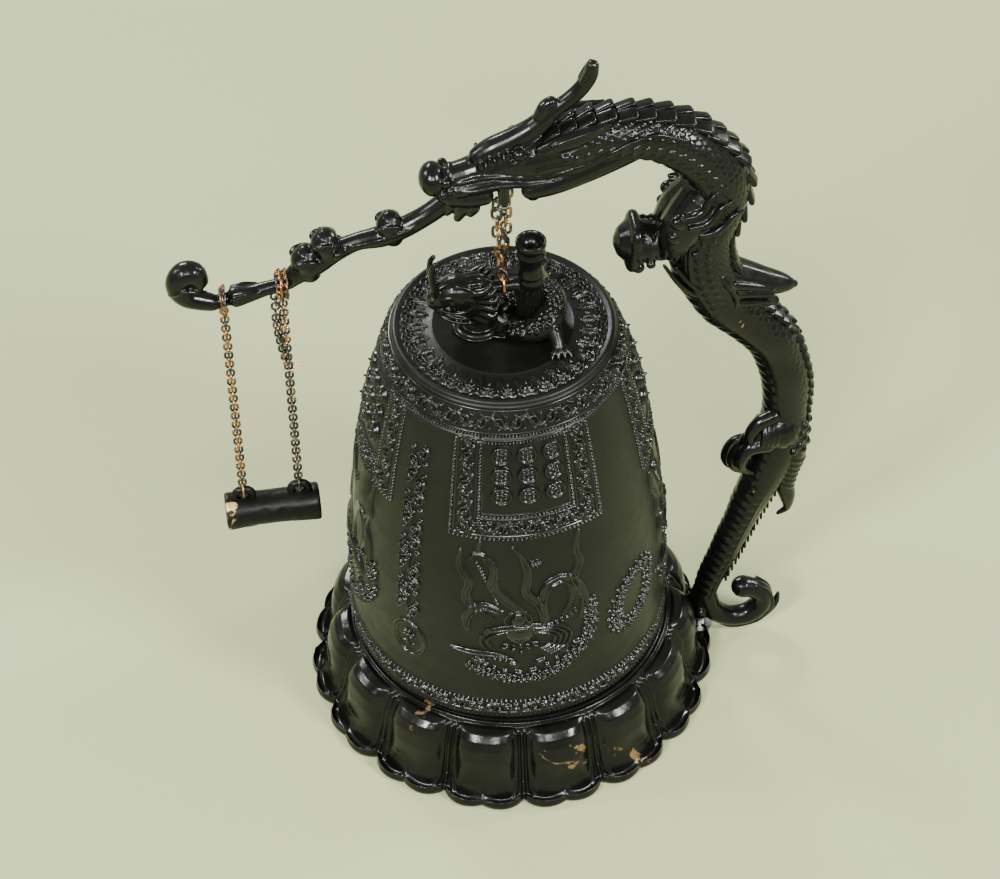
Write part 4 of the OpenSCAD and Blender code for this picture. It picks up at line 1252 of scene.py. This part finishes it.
def make_tail_curl():
    parts = [bar([(78.5, -0.5, 22, 4.8), (80.5, -1.5, 14.6, 4.6), (84.6, -2, 9.8, 4.3),
        (90.6, -2, 7, 4.2), (97, -2, 8, 4.4), (101.4, -2, 13, 4.4), (101.2, -2, 19.2, 4.1),
        (97, -2, 23, 4.2), (93.4, -2, 24.4, 4.6)], 18), bar([(77, 0, 13.4, 5.6), (77.4, 0, 18, 5.2),
        (79, 0, 25, 4.8)], 18)]
    # A lock that leaves the curl, and fine ridges on its outside.
    parts.append(bar([(98, -2, 7.6, 3.8), (103.6, -2, 8.4, 2.8), (107.4, -2, 12.6, 1.7),
        (108.4, -2, 17.4, 0.7)], 12))
    for off in (-2.4, 0.0, 2.4):
        parts.append(bar([(82.4, -2 + off, 8.2, 0.5), (87.6, -2 + off, 3.9, 0.7),
            (94, -2 + off, 3.0, 0.7), (101, -2 + off, 5.4, 0.7), (105.6, -2 + off, 12.4, 0.7),
            (104.6, -2 + off, 20.4, 0.7), (99.6, -2 + off, 26.4, 0.5)], 8))
    # The casting spreads where it is bolted to the base.
    foot = []
    for k in range(7):
        b = 2 * math.pi * k / 7
        foot.append(bar([(77, 0, 15.2, 3.4), (77 + 5.4 * math.cos(b), 5.4 * math.sin(b), 15.6,
            2.0)], 10))
    parts += foot
    return fuse("dragon_tail_curl", parts, 0.4, 1)


def make_dragon():
    build("dragon_body", *carved(BODY, 0.3, 176, body_height), cast_black, "stand", "black_casting",
        ["dragon_post"])
    build("dragon_crest", *make_crest(), cast_black, "stand", "black_casting")
    head = build("dragon_head", *make_head(), cast_black, "stand", "black_casting")
    chain_low, chain_high = box_mm("bell_chain_top")
    cut_slot(head, (chain_low[0] - 0.5, -3.7, 236), (chain_high[0] + 0.5, 3.7, chain_high[2] + 1.2))
    build("dragon_mane", *make_mane(), cast_black, "stand", "black_casting")
    build("dragon_fore_leg", *make_fore_leg(), cast_black, "stand", "black_casting")
    build("dragon_hind_leg", *make_hind_leg(), cast_black, "stand", "black_casting")
    build("dragon_tail_curl", *make_tail_curl(), cast_black, "stand", "black_casting")


# ---------------------------------------------------------------- the branch and its chain's turns
loop_left_low, loop_left_high = box_mm("twig_loop_left")
LEFT_X = (loop_left_low[0] + loop_left_high[0]) / 2
LEFT_Z = (loop_left_low[2] + loop_left_high[2]) / 2
chain_right_high = box_mm("striker_chain_right")[1]
loop_right_low, loop_right_high = box_mm("twig_loop_right")
RIGHT_X = (loop_right_low[0] + loop_right_high[0]) / 2
LOOP_R = (loop_left_high[2] - loop_left_low[2]) / 2
RIGHT_Z = loop_right_high[2] - LOOP_R


def make_branch():
    slope = (RIGHT_Z - LEFT_Z) / (RIGHT_X - LEFT_X)
    parts = [bar([(-16, 0, 254, 3.4), (-20.4, 0, 249.4, 3.8), (-27, 0, 244.2, 3.7),
        (-35, 0, 239.6, 3.9), (-43, 0, 236.6, 4.0), (-52, 0, 235.2, 3.3), (-60, 0, 231.8, 3.9),
        (-67, 0, 227.6, 4.6), (-73.6, 0, 223.4, 4.0), (RIGHT_X + 2.2, 0, RIGHT_Z + 2.2 * slope,
        2.7), (RIGHT_X - 2.2, 0, RIGHT_Z - 2.2 * slope, 2.55), (RIGHT_X - 6, 0, RIGHT_Z - 6 * slope,
        2.7), (-90, 0, (LEFT_Z + RIGHT_Z) / 2 - 0.3, 3.0), (LEFT_X + 4.8, 0, LEFT_Z + 4.8 * slope,
        3.8), (LEFT_X + 3.3, 0, LEFT_Z + 3.1 * slope, 3.5), (LEFT_X + 2.3, 0, LEFT_Z + 2.2 * slope,
        2.55), (LEFT_X - 1.6, 0, LEFT_Z - 1.0 * slope, 2.55), (LEFT_X - 3.6, 0, LEFT_Z - 0.3, 3.2),
        (-108.4, 0, 215.8, 3.6), (-112.8, 0, 218, 3.8), (-115.4, 0, 221.8, 4.0),
        (-115.4, 0, 226.2, 4.3), (-112.6, 0, 229.4, 4.6), (-109.6, 0, 228.8, 4.4),
        (-108.4, 0, 226, 3.9)], 20, 0.8)]
    parts.append(bar([(-119, -1.6, 221.4, 0.5), (-117.2, -3.6, 223.2, 0.7),
        (-113.6, -4.4, 224.8, 0.75), (-109.4, -4.0, 223.6, 0.7), (-106, -2.0, 221.6, 0.5)], 10))
    # Knobs where side shoots were cut: a rounded lip folded over an open hollow.
    for x, z, size in ((-70.6, 229.6, 5.2), (-63.4, 236.4, 5.0), (-40.6, 241.6, 4.6)):
        parts.append(bar([(x + 1.4, 0, z - 6, size * 0.8), (x + 0.4, 0, z - 2, size * 0.92),
            (x, 0, z, size), (x + 0.5, 0, z + 1.4, size * 0.9)], 20))
        for hand in (-1, 1):
            lip = [(x - size * 0.9 * math.cos(b), hand * (size * 0.72 + 0.25 * size * math.sin(b)),
                z + 0.1 + size * 0.5 * math.sin(b), 0.6 if 0 < k < 8 else 0.4) for k,
                b in enumerate(np.linspace(-0.3, 3.0, 9))]
            parts.append(bar(lip, 10))
    for hand in (-1, 1):
        parts.append(bar([(-57.6, hand * 2.2, 233.4, 2.4), (-59.6, hand * 4.4, 234, 1.8)], 12))
        parts.append(bar([(LEFT_X + 4, hand * 2.6, LEFT_Z + 3.2, 1.2), (-92.4, hand * 2.8, 218.6,
            0.9), (-88, hand * 2.6, 218.4, 0.5)], 10))
    parts.append(bar([(-30, -3.2, 243.2, 0.5), (-36, -3.8, 240.4, 0.7), (-46, -3.6, 237.6, 0.6),
        (-54, -3.2, 236, 0.4)], 8))
    return fuse("branch_wood", parts, 0.42, 1)


def chain_link(centre, along_dir, wide_dir, length=2.4, width=1.7, wire=0.9, sides=12):
    """An oval link of wire, long along one direction and wide along another."""
    z = np.array(along_dir, float) / np.linalg.norm(along_dir)
    x = np.array(wide_dir, float) - z * (np.array(wide_dir, float) @ z)
    x = x / np.linalg.norm(x)
    y = np.cross(z, x)
    straight = (length - width) / 2
    radius = (width + wire) / 2
    turns = np.concatenate([np.linspace(0, np.pi, 11), np.linspace(np.pi, 2 * np.pi, 11)])
    shift = np.concatenate([np.full(11, straight), np.full(11, -straight)])
    path = (np.cos(turns) * radius)[:, None] * x + (np.sin(turns) * radius + shift)[:, None] * z
    out = np.cos(turns)[:, None] * x + np.sin(turns)[:, None] * z
    a = np.linspace(0, 2 * np.pi, sides, endpoint=False)
    v = (path[:, None, :] + wire / 2 * (np.cos(a)[None, :, None] * out[:, None, :] + np.sin(a)[None,
        :, None] * y))
    return (v.reshape(-1, 3) + np.array(centre, float), grid_faces(len(path), sides, wrap_cols=True,
        wrap_rows=True).tolist())


def make_turns(name, x, z, turns, material):
    """Links of chain wrapped round the branch at a loop, instead of the loop's plain wire."""
    parts = []
    radius = LOOP_R - 0.35
    count = 12
    for turn in range(turns):
        for k in range(count):
            b = 2 * math.pi * k / count + 0.13
            shift = (turn - (turns - 1) / 2) * 2.2
            out = np.array((0, math.cos(b), math.sin(b)))
            way = np.array((0.05, -math.sin(b), math.cos(b)))
            wide = out if k % 2 else np.array((1.0, 0, 0))
            wide = wide + 0.8 * (np.array((1.0, 0, 0)) if k % 2 else out)
            place = np.array((x + shift, 0, z)) + out * radius
            parts.append(chain_link(place, way, wide, 2.2, 1.3, 0.85))
    build(name, *join(parts), material, "stand", "chain_brass")


def make_spare_start():
    """Links that carry the right chain's spare end from the branch down to its first link.

    Those above the chain's pivot stay with the loop, and those below it swing with the chain.
    """
    x = RIGHT_X - 2.9
    top = RIGHT_Z - LOOP_R
    pivot = RIGHT_Z - 2 * LOOP_R
    low = chain_right_high[2] - 2 * 2.25 - 0.4
    count = max(2, int(round((top - low) / 2.25)))
    upper, lower = [], []
    for k in range(count):
        z = top - (k + 0.2) * (top - low) / count
        link_mesh = chain_link((x + 0.3 * (k % 2) + 0.15, 0, z), (0, 0, 1),
            (0, 1, 0) if k % 2 else (1, 0, 0))
        (upper if z > pivot else lower).append(link_mesh)
    build("branch_chain_spare", *join(upper), chain_dark, "twig_loops", "chain_brass")
    build("right_chain_spare", *join(lower), chain_dark, "right_chain", "chain_brass")


# ---------------------------------------------------------------- the crown on the bell
chain_low_low = box_mm("bell_chain_low")[0]
CROWN_BAR_Z = chain_low_low[2] + 3.56


def make_crown():
    """The small dragon whose back the chain loops round: head to the left, coils to the right."""
    top = TOP_Z + 0.05
    x0 = BELL_X

    def at(points):
        return [(x + x0, y, z, r) for x, y, z, r in points]

    parts = [bar(at([(-9, 0, 196, 6.2), (-12.4, 0, 201.6, 6.6), (-16, 0, 205.6, 6.9),
        (-20.4, 0, 205, 5.4), (-24, 0, 202.6, 3.9)]), 20), bar(at([(-8, 0, 197, 4.6),
        (-14, 0, 197, 4.4), (-19.4, 0, 197.2, 3.4), (-23, 0, 198, 2.2)]), 16),
        bar(at([(-12, 0, 201, 5), (-8.6, 0, 204.4, 3.4), (-6, 0, CROWN_BAR_Z, 2.5),
        (-2, 0, CROWN_BAR_Z, 2.35), (2.5, 0, CROWN_BAR_Z, 2.35), (5.4, 0, CROWN_BAR_Z, 2.8),
        (8.6, 0, 202.4, 4.2), (10.4, 1, 196, 5.2), (11, 1, top + 3, 5.6)]), 20),
        bar(at([(-9, 0, 199, 6), (-8.4, 0, 193, 5.6), (-9, 0, top + 2, 6.2)]), 18)]
    # Foot plates under the head and round the tube.
    for x, y, r, h in ((-9.5, 0, 9.0, 2.0), (9.6, -2, 9.6, 2.2), (0, -1, 8.0, 1.6)):
        rim = [(0.01, 0), (r, 0), (r + 0.3, 0.5), (r + 0.1, 0.95), (r - 0.7, 1.15), (r - 1.6, h),
            (0.01, h)]
        verts, faces = revolve(rim, 72)
        parts.append((verts + np.array((x0 + x, y, top)), faces))
    # Jaw, lips and chin in fine raised lines.
    for hand in (-1, 1):
        for pts, r in (([(-24.4, 1.2, 196.6), (-20, 3.4, 194.6), (-15, 4.8, 193.8),
                (-9, 5.2, 193.8)], 0.75), ([(-23.4, 1.6, 198.2), (-19, 3.8, 196.6),
                (-14.6, 5.0, 196), (-10.6, 5.4, 196.6)], 0.6), ([(-26.4, 1.6, 201.6),
                (-22.4, 4.0, 200.4), (-18.4, 5.4, 199.8), (-14.4, 6.4, 200.6), (-11.4, 6.4, 202.6)],
                0.65), ([(-24.6, 3.0, 205.0), (-21.4, 4.6, 206.6), (-17.6, 5.6, 207.2),
                (-14.4, 6.2, 205.6)], 0.75), ([(-19.6, 3.2, 210.2), (-15, 4.6, 211.2),
                (-11, 5.4, 208.6), (-9.6, 6.0, 204)], 0.6)):
            parts.append(bar(at([(x, hand * y, z, r * (0.6 if k in (0, len(pts) - 1) else 1)) for k,
                (x, y, z) in enumerate(pts)]), 10, 0.6))
        parts += [ball((x0 - 18.6, hand * 5.0, 204.6), 1.35), ball((x0 - 25.6, hand * 2.0, 204.2),
            1.4), ball((x0 - 23.2, hand * 3.3, 203.4), 1.3)]
        for k in range(6):
            parts.append(ball((x0 - 22.4 + 2.1 * k, hand * (3.6 + 0.3 * k), 198.9 + 0.15 * k), 0.75,
                6, 10))
        # Mane: six locks swept back from the cheek and crown, each curled at its tip.
        for k in range(6):
            b = math.radians(78 - 31 * k)
            root = (-12.6 + 4.4 * math.cos(b), hand * 4.6, 202.5 + 5.4 * math.sin(b))
            mid = (-8.8 + 5.0 * math.cos(b), hand * 5.8, 202 + 7.4 * math.sin(b))
            tip = (-5.6 + 3.6 * math.cos(b), hand * 5.4, 203.6 + 8.2 * math.sin(b))
            tip = (min(tip[0], -2.6), tip[1], max(tip[2], 192.5))
            parts.append(bar(at([(*root, 1.7), (*mid, 1.5), (*tip, 0.6)]), 12, 0.6))
        parts.append(bar(at([(-22.6, hand * 2.2, 204.6, 1.4), (-24.6, hand * 2.5, 209, 1.35),
            (-25.6, hand * 2.4, 214.5, 1.2), (-25.4, hand * 2.2, 219.6, 1.05),
            (-24.2, hand * 2.0, 221.6, 0.9)]), 12))
    # Locks on top between the head and the bar.
    for k in range(5):
        y = -4.4 + 2.2 * k
        parts.append(bar(at([(-14, y, 210.4 - 0.12 * y * y, 1.3), (-9.6, y * 1.05,
            210.6 - 0.12 * y * y, 1.5), (-6, y * 1.1, 208.6 - 0.12 * y * y, 1.1),
            (-3.9, y * 1.1, 206.8 - 0.1 * y * y, 0.5)]), 10, 0.6))
    # The body's coil round the foot of the tube, with rows of scales.
    coil = [(1.5, -7.4, top + 3.0, 3.0), (5, -11, top + 4.4, 3.8), (10, -12.4, top + 6, 4.4),
        (15.4, -9.6, top + 8, 4.6), (18.4, -3.4, top + 9.4, 4.4), (17.6, 3.4, top + 9, 4.2),
        (12, 7.6, top + 7, 4.2), (5.6, 7, top + 4.6, 3.8), (1, 3.6, top + 3, 3.0)]
    parts.append(bar(at(coil), 18))
    line = smooth_line(at(coil), 0.5)
    _, side, up = sections(line, (0, 0, 1))
    gone = along(line)
    row, at_row = 0, 1.6
    while at_row < gone[-1] - 1.6:
        k = np.searchsorted(gone, at_row)
        for b in np.radians(np.arange(-80, 81, 27) + 13.5 * (row % 2)):
            out = side[k] * math.sin(b) + up[k] * math.cos(b)
            parts.append(ball(line[k, :3] + out * (line[k, 3] - 0.1), 0.95, 5, 8))
        row, at_row = row + 1, at_row + 1.75
    # Leg and claws in front, and a second pair of claws behind.
    for hand in (-1, 1):
        y = -2 if hand < 0 else 2
        parts.append(bar(at([(14, y + hand * 6, top + 9, 4.0), (16, y + hand * 10.5, top + 6.4,
            3.4), (17, y + hand * 14, top + 3.6, 2.6), (17.4, y + hand * 16.5, top + 1.8, 2.0)]),
            14))
        for spread in (-3.4, -1.1, 1.3, 3.6):
            parts.append(bar(at([(17.2 + spread * 0.4, y + hand * 16, top + 2.2, 1.2),
                (17.6 + spread * 0.8, y + hand * 18.4, top + 1.9, 1.0), (17.6 + spread,
                y + hand * 20.6, top + 0.7, 0.45)]), 10, 0.5))
        for k in range(3):
            parts.append(bar(at([(12.6 + k, y + hand * (8 + 1.7 * k), top + 12.2 - 1.4 * k, 0.5),
                (15.4 + k, y + hand * (9.6 + 1.7 * k), top + 11.4 - 1.9 * k, 0.75),
                (18.4 + 0.4 * k, y + hand * (8.8 + 1.6 * k), top + 8 - 1.6 * k, 0.5)]), 8, 0.5))
    return fuse("crown_casting", parts, 0.33, 1)


def make_tube():
    """The resonance pipe beside the loop, with a ringed neck and a dished top."""
    x, y = (tube_low[0] + tube_high[0]) / 2, (tube_low[1] + tube_high[1]) / 2
    low, high = tube_low[2], tube_high[2]
    shape = [(0.01, low), (5, low), (5.4, low + 3), (5.0, low + 6), (4.4, low + 9),
        (4.25, low + 14), (4.3, low + 18), (4.75, low + 18.8), (4.95, low + 19.8),
        (4.75, low + 20.8), (4.35, low + 21.6), (4.7, low + 22.4), (4.8, low + 23.2),
        (4.4, low + 24.2), (4.25, low + 27), (4.4, low + 30), (5.1, low + 31.6), (5.35, low + 32.6),
        (5.1, low + 33.4), (4.75, low + 33.8), (5.0, low + 34.6), (5.5, low + 36),
        (5.6, high - 1.2), (5.5, high - 0.4), (5.15, high), (4.7, high - 0.2), (4.3, high - 1.4),
        (3.6, high - 3.4), (2.2, high - 4.6), (0.01, high - 5)]
    verts, faces = revolve(np.array(shape), 96)
    parts = [(verts + np.array((x, y, 0)), faces.tolist())]
    for k in range(12):
        b = 2 * math.pi * k / 12
        c, s = math.cos(b), math.sin(b)
        parts.append(bar([(x + 4.9 * c, y + 4.9 * s, low + 4, 0.8), (x + 4.3 * c, y + 4.3 * s,
            low + 10, 0.6), (x + 4.2 * c, y + 4.2 * s, low + 16, 0.35)], 8))
    return join(parts)


# ---------------------------------------------------------------- the striker
def make_striker():
    """The log, turned round the X axis with a rough cast skin, and its two lugs."""
    middle_x = (log_low[0] + log_high[0]) / 2
    half = (log_high[0] - log_low[0]) / 2
    radius = (log_high[1] - log_low[1]) / 2
    axis_z = log_low[2] + radius
    steps = np.concatenate([[-half] * 4, np.linspace(-half, half, 150), [half] * 4])
    reach = np.concatenate([[0.02, radius * 0.3, radius * 0.6, radius * 0.88],
        np.interp(np.linspace(-half, half, 150), [-half, -half + 0.35, -half + 1.2, -6, 0, 6,
        half - 1.2, half - 0.35, half], [radius - 0.7, radius - 0.2, radius, radius - 0.55,
        radius - 0.7, radius - 0.55, radius, radius - 0.2, radius - 0.7]),
        [radius * 0.88, radius * 0.6, radius * 0.3, 0.02]])
    sides = 150
    a = np.linspace(0, 2 * np.pi, sides, endpoint=False)
    dents = np.zeros((len(steps), sides))
    for _ in range(LOG_DENTS):
        at, angle = rng.uniform(-half, half), rng.uniform(0, 2 * np.pi)
        size, depth = rng.uniform(0.5, 1.8), rng.uniform(-0.16, 0.10)
        turn = (a[None, :] - angle + np.pi) % (2 * np.pi) - np.pi
        dents += depth * np.exp(-((steps[:, None] - at) ** 2 + (turn * radius) ** 2) / size ** 2)
    fall = np.clip((half - np.abs(steps)) / 1.5, 0, 1)[:, None]
    r = reach[:, None] + dents * fall
    dome = 0.25 * (1 - (reach / radius) ** 2) * (np.abs(steps) > half - 1e-6) * np.sign(steps)
    v = np.stack([(middle_x + steps + dome)[:, None] + 0 * r, r * np.cos(a),
        axis_z + r * np.sin(a)], -1)
    faces = grid_faces(len(steps), sides, wrap_cols=True)
    build("striker_body", v.reshape(-1, 3), faces, log_black, "striker", "striker_brass",
        ["striker_log"])
    for name, x, chain in (("left", LEFT_X, "striker_chain_left"), ("right", RIGHT_X,
            "striker_chain_right")):
        lug_z = box_mm(chain)[0][2] + WIRE_R
        parts = [ball((x, 0, lug_z - 4.2), (5.4, 3.0, 2.6), 16, 24)]
        arch = [(x + 3.25 * math.cos(b), 0, lug_z + 3.0 * math.sin(b),
            1.55) for b in np.radians(np.linspace(-40, 220, 16))]
        parts.append(bar(arch, 14))
        verts, faces = fuse(f"striker_lug_{name}", parts, 0.3, 2)
        build(f"striker_lug_{name}", verts, faces, log_black, "striker", "striker_brass")


make_dragon()
build("branch_wood", *make_branch(), cast_black, "stand", "black_casting", ["branch"])
make_turns("branch_chain_left", LEFT_X, LEFT_Z, 1, chain_copper)
make_turns("branch_chain_right", RIGHT_X, RIGHT_Z, 2, chain_copper)
make_spare_start()
build("crown_casting", *make_crown(), cast_black, "bell", "bell_bronze", ["crown_dragon"])
build("tube_casting", *make_tube(), cast_black, "bell", "bell_bronze", ["sound_tube"])
make_striker()

for node, material in (("base_felt", felt_green), ("post_bolt", steel_grey),
        ("post_washer", steel_grey), ("jaw_pin", steel_grey), ("crown_bolt", steel_grey),
        ("crown_washer", steel_grey), ("bell_chain_top", chain_bell), ("bell_chain_middle",
        chain_bell), ("bell_chain_low", chain_bell), ("twig_loop_left", chain_copper),
        ("twig_loop_right", chain_dark), ("striker_chain_left", chain_copper),
        ("striker_chain_right", chain_dark), ("wire_tie", tie_copper)):
    recoat(node, material)
